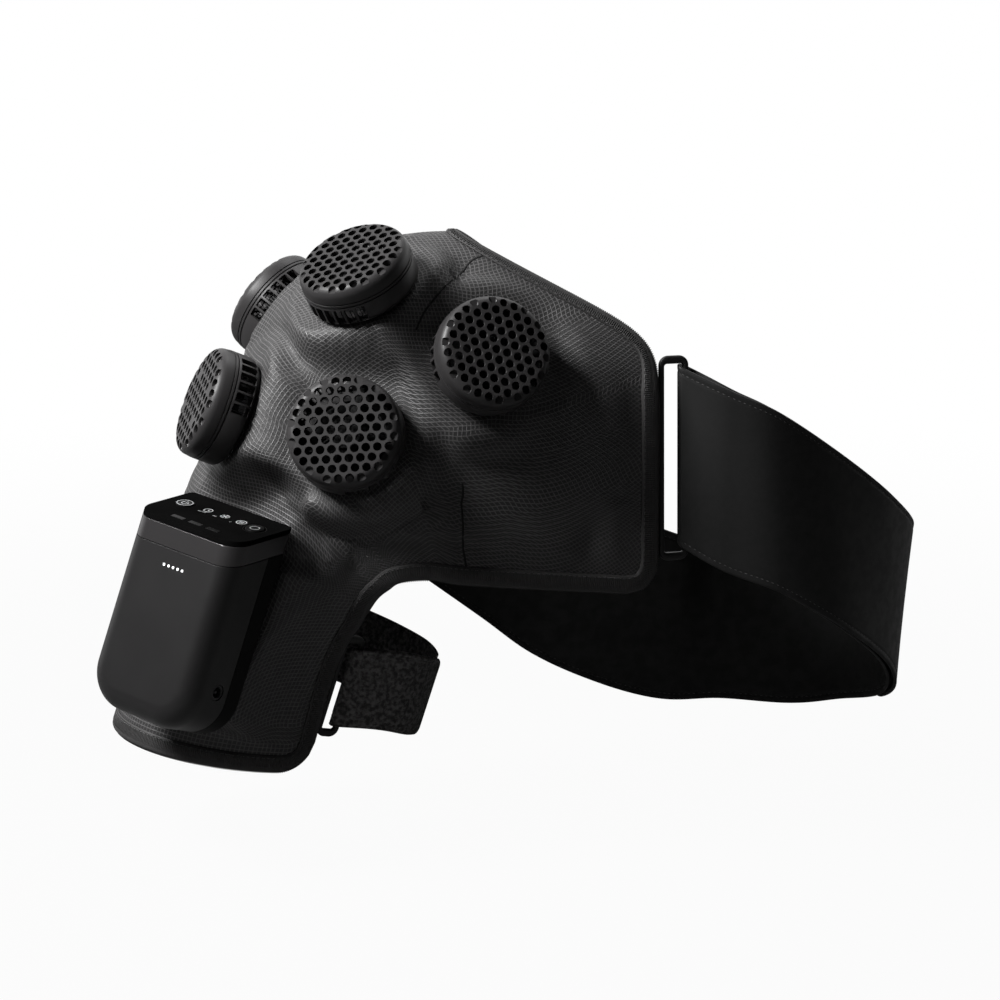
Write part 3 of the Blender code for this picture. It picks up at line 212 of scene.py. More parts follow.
class SurfaceGroups:
    """The shader groups that the finishes share, each built once."""

    def __init__(self) -> None:
        """Build every group."""
        makers = {
            Texture.RIPSTOP: self.ripstop,
            Texture.WEAVE: self.plain_weave,
            Texture.PILE: self.brushed_pile,
            Texture.FILM: self.pebbled_film,
            Texture.GRAIN: self.moulded_grain,
            Texture.BRUSHED: self.brushed_metal,
        }
        self.by_texture = {texture: make(texture.value) for texture, make in makers.items()}

    def threads(self, tree: Tree, vector: object, pitch: object, share: object) -> bpy.types.NodeSocket:
        """Mask of two crossing sets of thin threads.

        Args:
            tree: the group's builder.
            vector: where it is read.
            pitch: distance between threads.
            share: a thread's half width as a share of the pitch.

        Returns:
            1 on a thread, 0 between threads.
        """
        axes = tree.add("ShaderNodeSeparateXYZ", Vector=vector)
        masks = []
        for axis in axes.outputs[:2]:
            wave = tree.math("PINGPONG", tree.math("DIVIDE", axis, pitch), 0.5)
            masks.append(tree.ramp(wave, 0.0, share, 1.0, 0.0))
        return tree.math("MAXIMUM", *masks)

    def ripstop(self, name: str) -> bpy.types.NodeTree:
        """Cloth with a grid of raised reinforcing threads over a fine weave.

        Args:
            name: the group's name.

        Returns:
            The group.
        """
        tree, vector, pitch = new_group(name, 0.0022)
        grid = self.threads(tree, vector, pitch, 0.20)
        fine = self.threads(tree, vector, tree.math("DIVIDE", pitch, 5.0), 0.42)
        slub = tree.noise(vector, 900.0)
        relief = tree.math("MULTIPLY_ADD", fine, 0.16, tree.math("MULTIPLY", grid, 0.8))
        lit = tree.math("MULTIPLY", grid, tree.ramp(slub, 0.30, 0.70, 0.55, 1.0))
        return close_group(
            tree, tree.math("MULTIPLY_ADD", slub, 0.08, relief), tree.math("MULTIPLY_ADD", fine, 0.10, lit),
        )

    def plain_weave(self, name: str) -> bpy.types.NodeTree:
        """Over and under weave of round yarns.

        Args:
            name: the group's name.

        Returns:
            The group.
        """
        tree, vector, pitch = new_group(name, 0.0008)
        axes = tree.add("ShaderNodeSeparateXYZ", Vector=vector)
        waves = []
        for axis in axes.outputs[:2]:
            turn = tree.math("MULTIPLY", tree.math("DIVIDE", axis, pitch), math.pi)
            waves.append(tree.math("SINE", turn))
        over = tree.math("MULTIPLY", *waves)
        height = tree.math("MULTIPLY_ADD", over, 0.5, 0.5)
        slub = tree.noise(vector, 700.0)
        return close_group(
            tree, height, tree.math("MULTIPLY_ADD", slub, 0.5, tree.math("MULTIPLY", height, 0.5)),
        )

    def brushed_pile(self, name: str) -> bpy.types.NodeTree:
        """Tangle of short loops.

        Args:
            name: the group's name.

        Returns:
            The group.
        """
        tree, vector, pitch = new_group(name, 0.0006)
        scale = tree.math("DIVIDE", 1.0, pitch)
        warp = tree.add("ShaderNodeTexNoise", Vector=vector, Scale=tree.math("MULTIPLY", scale, 0.5))
        shift = tree.add(
            "ShaderNodeVectorMath", {"operation": "SCALE"}, s0=warp.outputs["Color"], Scale=0.0012,
        )
        moved_vector = tree.add("ShaderNodeVectorMath", {"operation": "ADD"}, s0=vector, s1=shift.outputs[0])
        loops = tree.add(
            "ShaderNodeTexVoronoi", {"feature": "SMOOTH_F1"}, Vector=moved_vector.outputs[0], Scale=scale,
        )
        tufts = tree.noise(vector, tree.math("MULTIPLY", scale, 0.28), 4.0)
        height = tree.math("MULTIPLY_ADD", tufts, 0.5, tree.math("SUBTRACT", 0.7, loops.outputs["Distance"]))
        return close_group(tree, height, tree.ramp(tufts, 0.35, 0.68, 0.0, 1.0))

    def pebbled_film(self, name: str) -> bpy.types.NodeTree:
        """Soft film with shallow, uneven pebbles.

        Args:
            name: the group's name.

        Returns:
            The group.
        """
        tree, vector, pitch = new_group(name, 0.0012)
        scale = tree.math("DIVIDE", 1.0, pitch)
        pebbles = tree.add("ShaderNodeTexVoronoi", {"feature": "SMOOTH_F1"}, Vector=vector, Scale=scale)
        soft = tree.noise(vector, tree.math("MULTIPLY", scale, 0.22), 4.0)
        height = tree.math("MULTIPLY_ADD", soft, 0.7, tree.math("MULTIPLY", pebbles.outputs["Distance"], 0.3))
        return close_group(tree, height, tree.ramp(soft, 0.30, 0.70, 0.0, 1.0))

    def moulded_grain(self, name: str) -> bpy.types.NodeTree:
        """Fine spark grain of a moulded part, with faint handling marks.

        Args:
            name: the group's name.

        Returns:
            The group.
        """
        tree, vector, pitch = new_group(name, 0.0003)
        scale = tree.math("DIVIDE", 1.0, pitch)
        spark = tree.noise(vector, scale, 2.0)
        marks = tree.noise(vector, 34.0, 5.0)
        return close_group(tree, spark, tree.ramp(marks, 0.32, 0.68, 0.0, 1.0))

    def brushed_metal(self, name: str) -> bpy.types.NodeTree:
        """Long fine scratches along the first axis.

        Args:
            name: the group's name.

        Returns:
            The group.
        """
        tree, vector, pitch = new_group(name, 0.0003)
        stretch = tree.add("ShaderNodeVectorMath", {"operation": "MULTIPLY"}, s0=vector, s1=(0.06, 1.0, 1.0))
        scale = tree.math("DIVIDE", 1.0, pitch)
        lines = tree.noise(stretch.outputs[0], scale, 2.0)
        return close_group(tree, lines, lines)


@dataclass(frozen=True)
class Finish:
    """One finish of the wrap: its colour, gloss and fine surface."""

    name: str
    slot: str
    colour: tuple[float, float, float]
    roughness: float
    texture: Texture = Texture.GRAIN
    place: Place = Place.OBJECT
    pitch: float = 0.0003
    relief: float = 0.00004
    strength: float = 0.5
    contrast: float = 0.12
    gloss_spread: float = 0.05
    metallic: float = 0.0
    sheen: float = 0.0
    specular: float = 0.5
    glow: float = 0.0

    def build(self, groups: SurfaceGroups) -> bpy.types.Material:
        """Build the material.

        Args:
            groups: the shared shader groups.

        Returns:
            The finished material.
        """
        material = bpy.data.materials.new(self.name)
        material.use_nodes = True
        material.node_tree.nodes.clear()
        tree = Tree(material.node_tree)
        vector = tree.add("ShaderNodeTexCoord").outputs[self.place.value]
        group = groups.by_texture[self.texture]
        surface = tree.add("ShaderNodeGroup", {"node_tree": group}, Vector=vector, Pitch=self.pitch)
        tone = surface.outputs["Tone"]
        dark = tuple(part * (1 - self.contrast) for part in self.colour) + (1.0,)
        light = tuple(part * (1 + self.contrast) for part in self.colour) + (1.0,)
        tint = tree.add("ShaderNodeMix", {"data_type": "RGBA"})
        tree.feed(tint.inputs[0], tone)
        tree.feed(tint.inputs[6], dark)
        tree.feed(tint.inputs[7], light)
        low = max(self.roughness - self.gloss_spread, 0.02)
        rough = tree.ramp(tone, 0.0, 1.0, self.roughness + self.gloss_spread, low)
        bump = tree.add(
            "ShaderNodeBump", Height=surface.outputs["Height"], Distance=self.relief, Strength=self.strength,
        )
        shader = tree.add(
            "ShaderNodeBsdfPrincipled", Base_Color=tint.outputs[2], Roughness=rough, Normal=bump.outputs[0],
            Metallic=self.metallic, Sheen_Weight=self.sheen, Sheen_Roughness=0.45,
            Specular_IOR_Level=self.specular,
        )
        if self.glow:
            shader.inputs["Emission Color"].default_value = (1.0, 1.0, 1.0, 1.0)
            shader.inputs["Emission Strength"].default_value = self.glow
        tree.add("ShaderNodeOutputMaterial", Surface=shader.outputs[0])
        return material


FINISHES = (
    Finish(
        "quilted_ripstop", "shell_laminate", (0.0500, 0.0485, 0.0490), 0.50, texture=Texture.RIPSTOP,
        place=Place.UV, pitch=0.0023, relief=0.00014, strength=0.9, contrast=0.86, gloss_spread=0.10,
        specular=0.45,
    ),
    Finish(
        "brushed_lining", "lining_fabric", (0.110, 0.110, 0.114), 0.95, texture=Texture.PILE, pitch=0.0007,
        relief=0.00020, strength=0.6, contrast=0.20, specular=0.1,
    ),
    Finish(
        "ribbed_tape", "binding_tape", (0.032, 0.031, 0.031), 0.66, texture=Texture.WEAVE, pitch=0.0006,
        relief=0.00010, strength=0.6, contrast=0.30, specular=0.35,
    ),
    Finish(
        "seam_thread", "binding_tape", (0.110, 0.108, 0.109), 0.60, texture=Texture.WEAVE, contrast=0.20,
        specular=0.3,
    ),
    Finish("harness_film", "harness_film", (0.150, 0.070, 0.015), 0.45, texture=Texture.FILM, pitch=0.0020),
    Finish(
        "module_shell", "module_plastic", (0.027, 0.0258, 0.0263), 0.42, pitch=0.00035, relief=0.00003,
        strength=0.35, contrast=0.08, specular=0.25,
    ),
    Finish("rotor_black", "rotor_plastic", (0.012, 0.0116, 0.012), 0.45, specular=0.3),
    # Heat sink: a real part, but its near-black colour is painted shade. It stands in for the dark insides of
    # the modules, seen through the cap holes.
    Finish(
        "sink_extrusion", "sink_metal", (0.012, 0.012, 0.0125), 0.40, texture=Texture.BRUSHED, metallic=0.6,
        specular=0.3,
    ),
    Finish("tile_ceramic", "tile_ceramic", (0.780, 0.780, 0.760), 0.50, texture=Texture.FILM, pitch=0.0010),
    Finish(
        "plate_anodised", "plate_metal", (0.700, 0.710, 0.730), 0.28, texture=Texture.BRUSHED, metallic=1.0,
        contrast=0.08,
    ),
    Finish(
        "unit_satin", "unit_satin", (0.0100, 0.0096, 0.0099), 0.38, relief=0.00002, strength=0.3,
        contrast=0.03, gloss_spread=0.015, specular=0.3,
    ),
    Finish(
        "unit_back", "unit_rear", (0.006, 0.006, 0.006), 0.45, pitch=0.00035, relief=0.00003, strength=0.4,
        specular=0.05,
    ),
    Finish(
        "bezel_polished", "bezel_gloss", (0.048, 0.046, 0.047), 0.22, contrast=0.05, gloss_spread=0.03,
        metallic=0.5, relief=0.00001,
    ),
    Finish(
        "panel_black", "panel_gloss", (0.003, 0.003, 0.003), 0.08, contrast=0.2, gloss_spread=0.02,
        relief=0.000005, specular=0.0,
    ),
    Finish("button_black", "button_plastic", (0.006, 0.006, 0.006), 0.30, relief=0.00001, specular=0.04),
    Finish(
        "button_ring", "button_plastic", (0.420, 0.430, 0.440), 0.30, texture=Texture.BRUSHED, metallic=0.4,
        specular=0.3,
    ),
    Finish("icon_print", "button_plastic", (0.420, 0.430, 0.440), 0.60, relief=0.00001, specular=0.1),
    Finish("light_lens", "light_pipe", (0.850, 0.870, 0.900), 0.25, glow=1.2, relief=0.00001),
    Finish(
        "jack_plated", "jack_metal", (0.030, 0.030, 0.031), 0.30, texture=Texture.BRUSHED, metallic=0.5,
        specular=0.3,
    ),
    Finish("board_coat", "board_laminate", (0.020, 0.120, 0.050), 0.50, texture=Texture.WEAVE, pitch=0.0005),
    Finish("cell_wrap", "cell_wrap", (0.050, 0.120, 0.300), 0.45, texture=Texture.FILM, pitch=0.0030),
    Finish(
        "ring_satin", "ring_plastic", (0.012, 0.012, 0.012), 0.45, relief=0.00003, strength=0.4,
        specular=0.25,
    ),
    Finish(
        "strap_film", "strap_web", (0.013, 0.013, 0.013), 0.54, texture=Texture.FILM, pitch=0.0014,
        relief=0.00008, strength=0.4, contrast=0.15, gloss_spread=0.06, specular=0.25,
    ),
    # Near-black colour of the strips along the darts: painted shade in their creases.
    Finish(
        "strap_edge", "strap_web", (0.008, 0.008, 0.008), 0.66, texture=Texture.WEAVE, pitch=0.0005,
        relief=0.00006, contrast=0.2, specular=0.2,
    ),
    Finish(
        "loop_pile", "loop_pile", (0.100, 0.097, 0.097), 0.98, texture=Texture.PILE, pitch=0.00055,
        relief=0.00035, strength=0.8, contrast=0.60, specular=0.1, sheen=0.15,
    ),
    Finish(
        "hook_tape", "hook_tape", (0.009, 0.009, 0.009), 0.70, texture=Texture.WEAVE, pitch=0.0010,
        relief=0.00010, strength=0.6, specular=0.2,
    ),
)

# The first finish of each slot dresses the CAD nodes of that slot
NODE_FINISHES = {finish.slot: finish.name for finish in reversed(FINISHES)}


class Finishes:
    """Every finish as a built material, by name."""

    def __init__(self) -> None:
        """Build the shared groups and every material."""
        groups = SurfaceGroups()
        self.specs = {finish.name: finish for finish in FINISHES}
        self.materials = {finish.name: finish.build(groups) for finish in FINISHES}

    def dress(self, piece: bpy.types.Object, name: str) -> None:
        """Give a piece one finish by its name."""
        piece.data.materials.clear()
        piece.data.materials.append(self.materials[name])

    def slot_of(self, name: str) -> str:
        """Return the record's material slot of a finish."""
        return self.specs[name].slot


# Geometry trees and mesh helpers


class GrowthTrees:
    """The geometry node trees that place what repeats and cut what is perforated."""

    def __init__(self) -> None:
        """Build each tree once."""
        self.repeat = self.repeat_tree()
        self.perforate = self.perforate_tree()
        self.lattice = self.lattice_tree()

    def start(self, name: str, inputs: dict[str, str]) -> tuple[bpy.types.NodeTree, Tree, bpy.types.Node]:
        """Start a geometry tree.

        Args:
            name: the tree's name.
            inputs: socket type of each input by name.

        Returns:
            The tree, its builder and its input node.
        """
        group = bpy.data.node_groups.new(name, "GeometryNodeTree")
        group.interface.new_socket("Geometry", in_out="INPUT", socket_type="NodeSocketGeometry")
        for label, kind in inputs.items():
            group.interface.new_socket(label, in_out="INPUT", socket_type=kind)
        group.interface.new_socket("Geometry", in_out="OUTPUT", socket_type="NodeSocketGeometry")
        tree = Tree(group)
        return group, tree, tree.add("NodeGroupInput")

    def stationed(self, tree: Tree, points: object, unit: object, size: object) -> bpy.types.NodeSocket:
        """Place copies of a unit on stations, turned by their face and run directions.

        Args:
            tree: the tree's builder.
            points: the stations' geometry.
            unit: the unit object's socket.
            size: the copies' size.

        Returns:
            The realized copies.
        """
        shape = tree.add("GeometryNodeObjectInfo", {"transform_space": "ORIGINAL"}, Object=unit)
        facing = []
        for label in ("face", "run"):
            named = tree.add("GeometryNodeInputNamedAttribute", {"data_type": "FLOAT_VECTOR"}, Name=label)
            facing.append(named.outputs["Attribute"])
        stand = tree.add("FunctionNodeAlignRotationToVector", {"axis": "Z"}, Vector=facing[0])
        turn = tree.add(
            "FunctionNodeAlignRotationToVector", {"axis": "X", "pivot_axis": "Z"}, Rotation=stand.outputs[0],
            Vector=facing[1],
        )
        copies = tree.add(
            "GeometryNodeInstanceOnPoints", Points=points, Instance=shape.outputs["Geometry"],
            Rotation=turn.outputs[0], Scale=size,
        )
        return tree.add("GeometryNodeRealizeInstances", s0=copies.outputs[0]).outputs[0]

    def repeat_tree(self) -> bpy.types.NodeTree:
        """Copies of one unit along stations, such as stitches, ribs and slats.

        Returns:
            The tree.
        """
        kinds = {"Unit": "NodeSocketObject", "Size": "NodeSocketVector", "Finish": "NodeSocketMaterial"}
        group, tree, given = self.start("repeat_along_stations", kinds)
        copies = self.stationed(tree, given.outputs["Geometry"], given.outputs["Unit"], given.outputs["Size"])
        dressed = tree.add("GeometryNodeSetMaterial", Geometry=copies, Material=given.outputs["Finish"])
        tree.add("NodeGroupOutput", s0=dressed.outputs[0])
        return group

    def perforate_tree(self) -> bpy.types.NodeTree:
        """A body with one cutter taken out of it at every station.

        Returns:
            The tree.
        """
        kinds = {
            "Stations": "NodeSocketObject", "Cutter": "NodeSocketObject", "Size": "NodeSocketVector",
            "Finish": "NodeSocketMaterial",
        }
        group, tree, given = self.start("perforate_at_stations", kinds)
        places = tree.add(
            "GeometryNodeObjectInfo", {"transform_space": "ORIGINAL"}, Object=given.outputs["Stations"],
        )
        cutters = self.stationed(
            tree, places.outputs["Geometry"], given.outputs["Cutter"], given.outputs["Size"],
        )
        body, tools = (
            tree.add("GeometryNodeTransform", Geometry=shape, Scale=(GROW,) * 3).outputs[0]
            for shape in (given.outputs["Geometry"], cutters)
        )
        whole = tree.add("GeometryNodeMeshBoolean", {"operation": "DIFFERENCE"}, s0=body, s1=tools)
        cut = tree.add("GeometryNodeTransform", Geometry=whole.outputs[0], Scale=(1 / GROW,) * 3)
        dressed = tree.add(
            "GeometryNodeSetMaterial", Geometry=cut.outputs[0], Material=given.outputs["Finish"],
        )
        tree.add("NodeGroupOutput", s0=dressed.outputs[0])
        return group

    def lattice_tree(self) -> bpy.types.NodeTree:
        """Stations in a hexagonal lattice inside a circle, with the lattice pitch as an input.

        Returns:
            The tree.
        """
        kinds = {
            "Pitch": "NodeSocketFloat", "Inner": "NodeSocketFloat", "Outer": "NodeSocketFloat",
            "Count": "NodeSocketInt",
        }
        group, tree, given = self.start("hexagonal_lattice", kinds)
        pitch = given.outputs["Pitch"]
        last = tree.math("SUBTRACT", given.outputs["Count"], 1.0)
        width = tree.math("MULTIPLY", pitch, last)
        depth = tree.math("MULTIPLY", width, math.sqrt(3) / 2)
        count = given.outputs["Count"]
        grid = tree.add(
            "GeometryNodeMeshGrid", Size_X=width, Size_Y=depth, Vertices_X=count, Vertices_Y=count,
        )
        index = tree.add("GeometryNodeInputIndex").outputs[0]
        row = tree.math("MODULO", index, given.outputs["Count"])
        odd = tree.math("MODULO", row, 2.0)
        shift = tree.add(
            "ShaderNodeCombineXYZ", X=tree.math("MULTIPLY", tree.math("MULTIPLY", odd, pitch), 0.5),
        )
        laid = tree.add("GeometryNodeSetPosition", Geometry=grid.outputs["Mesh"], Offset=shift.outputs[0])
        place = tree.add("GeometryNodeInputPosition").outputs[0]
        reach = tree.add("ShaderNodeVectorMath", {"operation": "LENGTH"}, s0=place).outputs["Value"]
        beyond = tree.math("GREATER_THAN", reach, given.outputs["Outer"])
        outside = tree.math("MAXIMUM", beyond, tree.math("LESS_THAN", reach, given.outputs["Inner"]))
        kept = tree.add(
            "GeometryNodeDeleteGeometry", {"domain": "POINT"}, Geometry=laid.outputs[0], Selection=outside,
        )
        tree.add("NodeGroupOutput", s0=kept.outputs[0])
        return group


def link(name: str, mesh: bpy.types.Mesh) -> bpy.types.Object:
    """Make an object from a mesh and put it in the scene."""
    item = bpy.data.objects.new(name, mesh)
    bpy.context.scene.collection.objects.link(item)
    return item


def mesh_of(name: str, shape: bmesh.types.BMesh, smooth: bool = True) -> bpy.types.Mesh:
    """Turn a bmesh into a mesh and free it.

    Args:
        name: the mesh's name.
        shape: the finished shape.
        smooth: whether its faces are shaded smooth.

    Returns:
        The mesh.
    """
    for face in shape.faces:
        face.smooth = smooth
    mesh = bpy.data.meshes.new(name)
    shape.to_mesh(mesh)
    shape.free()
    return mesh


def solid(name: str, shape: bmesh.types.BMesh, smooth: bool = True) -> bpy.types.Object:
    """Make an object from a shape and put it in the scene, as mesh_of and link do."""
    return link(name, mesh_of(name, shape, smooth))


def baked(item: bpy.types.Object) -> bpy.types.Object:
    """Replace an object's mesh by what its modifiers make of it, and remove them.

    Args:
        item: the object.

    Returns:
        The same object.
    """
    bpy.context.view_layer.update()
    graph = bpy.context.evaluated_depsgraph_get()
    mesh = bpy.data.meshes.new_from_object(
        item.evaluated_get(graph), preserve_all_data_layers=True, depsgraph=graph,
    )
    item.modifiers.clear()
    item.data = mesh
    return item


def grown(item: bpy.types.Object, tree: bpy.types.NodeTree, values: dict[str, object]) -> None:
    """Run a geometry tree on an object and keep the result as a plain mesh.

    Args:
        item: the object to change.
        tree: the geometry tree.
        values: the tree's inputs by name.
    """
    modifier = item.modifiers.new(tree.name, "NODES")
    modifier.node_group = tree
    for socket in tree.interface.items_tree:
        if socket.in_out == "INPUT" and socket.name in values:
            modifier[socket.identifier] = values[socket.name]
    baked(item)


def discard(*items: bpy.types.Object) -> None:
    """Remove helper objects."""
    for item in items:
        bpy.data.objects.remove(item)


@dataclass(frozen=True)
class Station:
    """A place with the direction it faces and the direction its unit runs along."""

    point: Vector
    face: Vector
    run: Vector


def station_mesh(name: str, stations: Sequence[Station]) -> bpy.types.Object:
    """Object whose loose vertices carry the stations' directions.

    Args:
        name: the object's name.
        stations: the places.

    Returns:
        The object.
    """
    mesh = bpy.data.meshes.new(name)
    mesh.from_pydata([station.point for station in stations], [], [])
    for label in ("face", "run"):
        layer = mesh.attributes.new(label, "FLOAT_VECTOR", "POINT")
        for slot, station in zip(layer.data, stations):
            slot.vector = getattr(station, label)
    return link(name, mesh)


def skin(rings: Sequence[Sequence[Vector]], closed: bool = False, capped: bool = True) -> bmesh.types.BMesh:
    """Skin a list of equal closed rings of points.

    Args:
        rings: the rings in order.
        closed: whether the last ring joins the first.
        capped: whether the two ends get a face.

    Returns:
        The shape, with its faces pointing outwards.
    """
    shape = bmesh.new()
    loops = [[shape.verts.new(point) for point in ring] for ring in rings]
    pairs = list(zip(loops, loops[1:]))
    if closed:
        pairs.append((loops[-1], loops[0]))
    for low, high in pairs:
        for index in range(len(low)):
            follow = (index + 1) % len(low)
            shape.faces.new((low[index], low[follow], high[follow], high[index]))
    if capped and not closed:
        shape.faces.new(list(reversed(loops[0])))
        shape.faces.new(loops[-1])
    bmesh.ops.recalc_face_normals(shape, faces=shape.faces)
    return shape


def turned(profile: Sequence[tuple[float, float]], steps: int) -> bmesh.types.BMesh:
    """Revolve a closed half section of (radius, height) pairs round +Z.

    Args:
        profile: the half section.
        steps: how many facets go round.

    Returns:
        The closed shape.
    """
    shape = bmesh.new()
    points = [shape.verts.new((radius, 0, height)) for radius, height in profile]
    edges = [shape.edges.new(pair) for pair in zip(points, points[1:])]
    if profile[0][0] or profile[-1][0]:
        edges.append(shape.edges.new((points[-1], points[0])))
    bmesh.ops.spin(
        shape, geom=points + edges, cent=(0, 0, 0), axis=(0, 0, 1), angle=math.tau,
        steps=steps, use_merge=True, use_duplicate=False,
    )
    bmesh.ops.remove_doubles(shape, verts=shape.verts, dist=0.002 * MM)
    bmesh.ops.recalc_face_normals(shape, faces=shape.faces)
    return shape


def block(width: float, depth: float, low: float, high: float, radius: float = 0.0) -> bmesh.types.BMesh:
    """Upright block centred on the origin, with its upright corners rounded if a radius is given.

    Args:
        width: size along X.
        depth: size along Y.
        low: height of its foot.
        high: height of its top.
        radius: corner radius.

    Returns:
        The closed shape.
    """
    outline = rounded(width, depth, radius, 6 if radius else 1)
    return skin([[Vector((x, y, height)) for x, y in outline] for height in (low, high)])


def rounded(width: float, height: float, radius: float, steps: int) -> list[tuple[float, float]]:
    """Outline of a rounded rectangle centred on the origin.

    Args:
        width: size along the first axis.
        height: size along the second axis.
        radius: corner radius.
        steps: facets of each corner.

    Returns:
        The outline's points, anticlockwise.
    """
    points = []
    for turn, (x, y) in enumerate(((1, 1), (-1, 1), (-1, -1), (1, -1))):
        for index in range(steps + 1 if radius else 1):
            angle = math.pi / 2 * (turn + index / steps)
            across = x * (width / 2 - radius) + radius * math.cos(angle)
            points.append((across, y * (height / 2 - radius) + radius * math.sin(angle)))
    return points


def moved(shape: bmesh.types.BMesh, matrix: Matrix) -> bmesh.types.BMesh:
    """Move a shape by a matrix and return it."""
    bmesh.ops.transform(shape, matrix=matrix, verts=shape.verts)
    return shape


def gathered(shapes: Iterable[bmesh.types.BMesh]) -> bmesh.types.BMesh:
    """Collect several shapes in one.

    Args:
        shapes: what is collected and freed.

    Returns:
        The one shape.
    """
    result = bmesh.new()
    for shape in shapes:
        mesh = mesh_of("gathered", shape)
        result.from_mesh(mesh)
        bpy.data.meshes.remove(mesh)
    return result


def curve_point(points: Sequence[Vector], share: float) -> Vector:
    """Point on a smooth curve through all the given points.

    Args:
        points: what the curve passes through.
        share: how far along, from 0 to 1, counted in points.

    Returns:
        The point.
    """
    place = share * (len(points) - 1)
    index = min(int(place), len(points) - 2)
    step = place - index
    first, last = points[index], points[index + 1]
    before = points[index - 1] if index else first * 2 - last
    after = points[index + 2] if index + 2 < len(points) else last * 2 - first
    return (
        first * 2
        + (last - before) * step
        + (before * 2 - first * 5 + last * 4 - after) * step ** 2
        + (first * 3 - before - last * 3 + after) * step ** 3
    ) / 2


def spaced(points: Sequence[Vector], pitch: float) -> list[tuple[Vector, Vector]]:
    """Points at an even pitch along a polyline, each with its direction.

    Args:
        points: the polyline.
        pitch: the distance wanted between points.

    Returns:
        Pairs of point and direction.
    """
    lengths = [0.0]
    for low, high in zip(points, points[1:]):
        lengths.append(lengths[-1] + (high - low).length)
    count = max(int(lengths[-1] / pitch), 1)
    result = []
    cell = 0
    for index in range(count + 1):
        target = lengths[-1] * index / count
        while cell < len(points) - 2 and lengths[cell + 1] < target:
            cell += 1
        span = lengths[cell + 1] - lengths[cell]
        share = (target - lengths[cell]) / span if span else 0
        run = points[cell + 1] - points[cell]
        result.append((points[cell].lerp(points[cell + 1], share), run.normalized()))
    return result


def swept(
    points: Sequence[Vector], faces: Sequence[Vector], section: Sequence[tuple[float, float]],
    closed: bool = False,
) -> bmesh.types.BMesh:
    """Sweep a section along a path.

    Args:
        points: the path.
        faces: the outward direction at each point.
        section: (across, outward) pairs of the section, in metres.
        closed: whether the path is a loop.

    Returns:
        The closed shape.
    """
    rings = []
    last = len(points) - 1
    for index, (point, face) in enumerate(zip(points, faces)):
        ahead = points[(index + 1) % len(points)] if closed else points[min(index + 1, last)]
        behind = points[index - 1] if closed or index else points[0]
        run = (ahead - behind).normalized()
        side = run.cross(face).normalized()
        out = side.cross(run).normalized()
        rings.append([point + side * across + out * outward for across, outward in section])
    return skin(rings, closed=closed)


def oval(width: float, height: float, steps: int = 8, lift: float = 0.0) -> list[tuple[float, float]]:
    """Oval section of a given width and height, lifted off the path."""
    turns = [math.tau * index / steps for index in range(steps)]
    return [(math.cos(turn) * width / 2, math.sin(turn) * height / 2 + lift) for turn in turns]


class Workshop:
    """What every sub-assembly needs to make and finish its pieces."""

    def __init__(self) -> None:
        """Build the finishes and the geometry trees."""
        self.finishes = Finishes()
        self.trees = GrowthTrees()
        self.made = 0

    def keep(
        self, item: bpy.types.Object, finish: str, body: str = WRAP_BODY, replaces: Sequence[str] = (),
    ) -> None:
        """Dress a finished piece and tie it to the frame.

        Args:
            item: the piece.
            finish: its finish.
            body: the body that it rides on.
            replaces: the CAD nodes that it stands for.
        """
        self.finishes.dress(item, finish)
        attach(item, body)
        self.finishes.slot_of(finish)
        if replaces:
            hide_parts(*replaces)
        self.made += 1
        log.info("%s: %d faces on %s", item.name, len(item.data.polygons), body)

    def copies(
        self, name: str, stations: Sequence[Station], unit: bmesh.types.BMesh, finish: str,
    ) -> bpy.types.Object:
        """Make one mesh of many copies of a unit.

        Args:
            name: the object's name.
            stations: where the copies stand.
            unit: the unit's shape, about its own origin.
            finish: its finish.

        Returns:
            The object.
        """
        helper = solid(name + "_unit", unit)
        item = station_mesh(name, stations)
        grown(
            item, self.trees.repeat,
            {"Unit": helper, "Size": FULL_SIZE, "Finish": self.finishes.materials[finish]},
        )
        discard(helper)
        return item

    def repeated(self, name: str, stations: Sequence[Station], unit: bmesh.types.BMesh, finish: str) -> None:
        """Make a piece of many copies of one unit, as copies does."""
        self.keep(self.copies(name, stations, unit, finish), finish)

    def perforated(
        self, item: bpy.types.Object, stations: Sequence[Station], cutter: bmesh.types.BMesh, finish: str,
    ) -> None:
        """Take a cutter out of an object at every station.

        Args:
            item: the object to cut.
            stations: where the cutters stand.
            cutter: the cutter's shape, about its own origin.
            finish: the finish of the cut body.
        """
        tool = solid(item.name + "_cutter", cutter)
        places = station_mesh(item.name + "_places", stations)
        values = {
            "Stations": places, "Cutter": tool, "Size": FULL_SIZE, "Finish": self.finishes.materials[finish],
        }
        grown(item, self.trees.perforate, values)
        discard(tool, places)


def creased(item: bpy.types.Object, degrees: float) -> None:
    """Shade an object smooth but for its edges sharper than an angle."""
    mesh = item.data
    mesh.polygons.foreach_set("use_smooth", [True] * len(mesh.polygons))
    mesh.set_sharp_from_angle(angle=math.radians(degrees))


# The wrap's surface


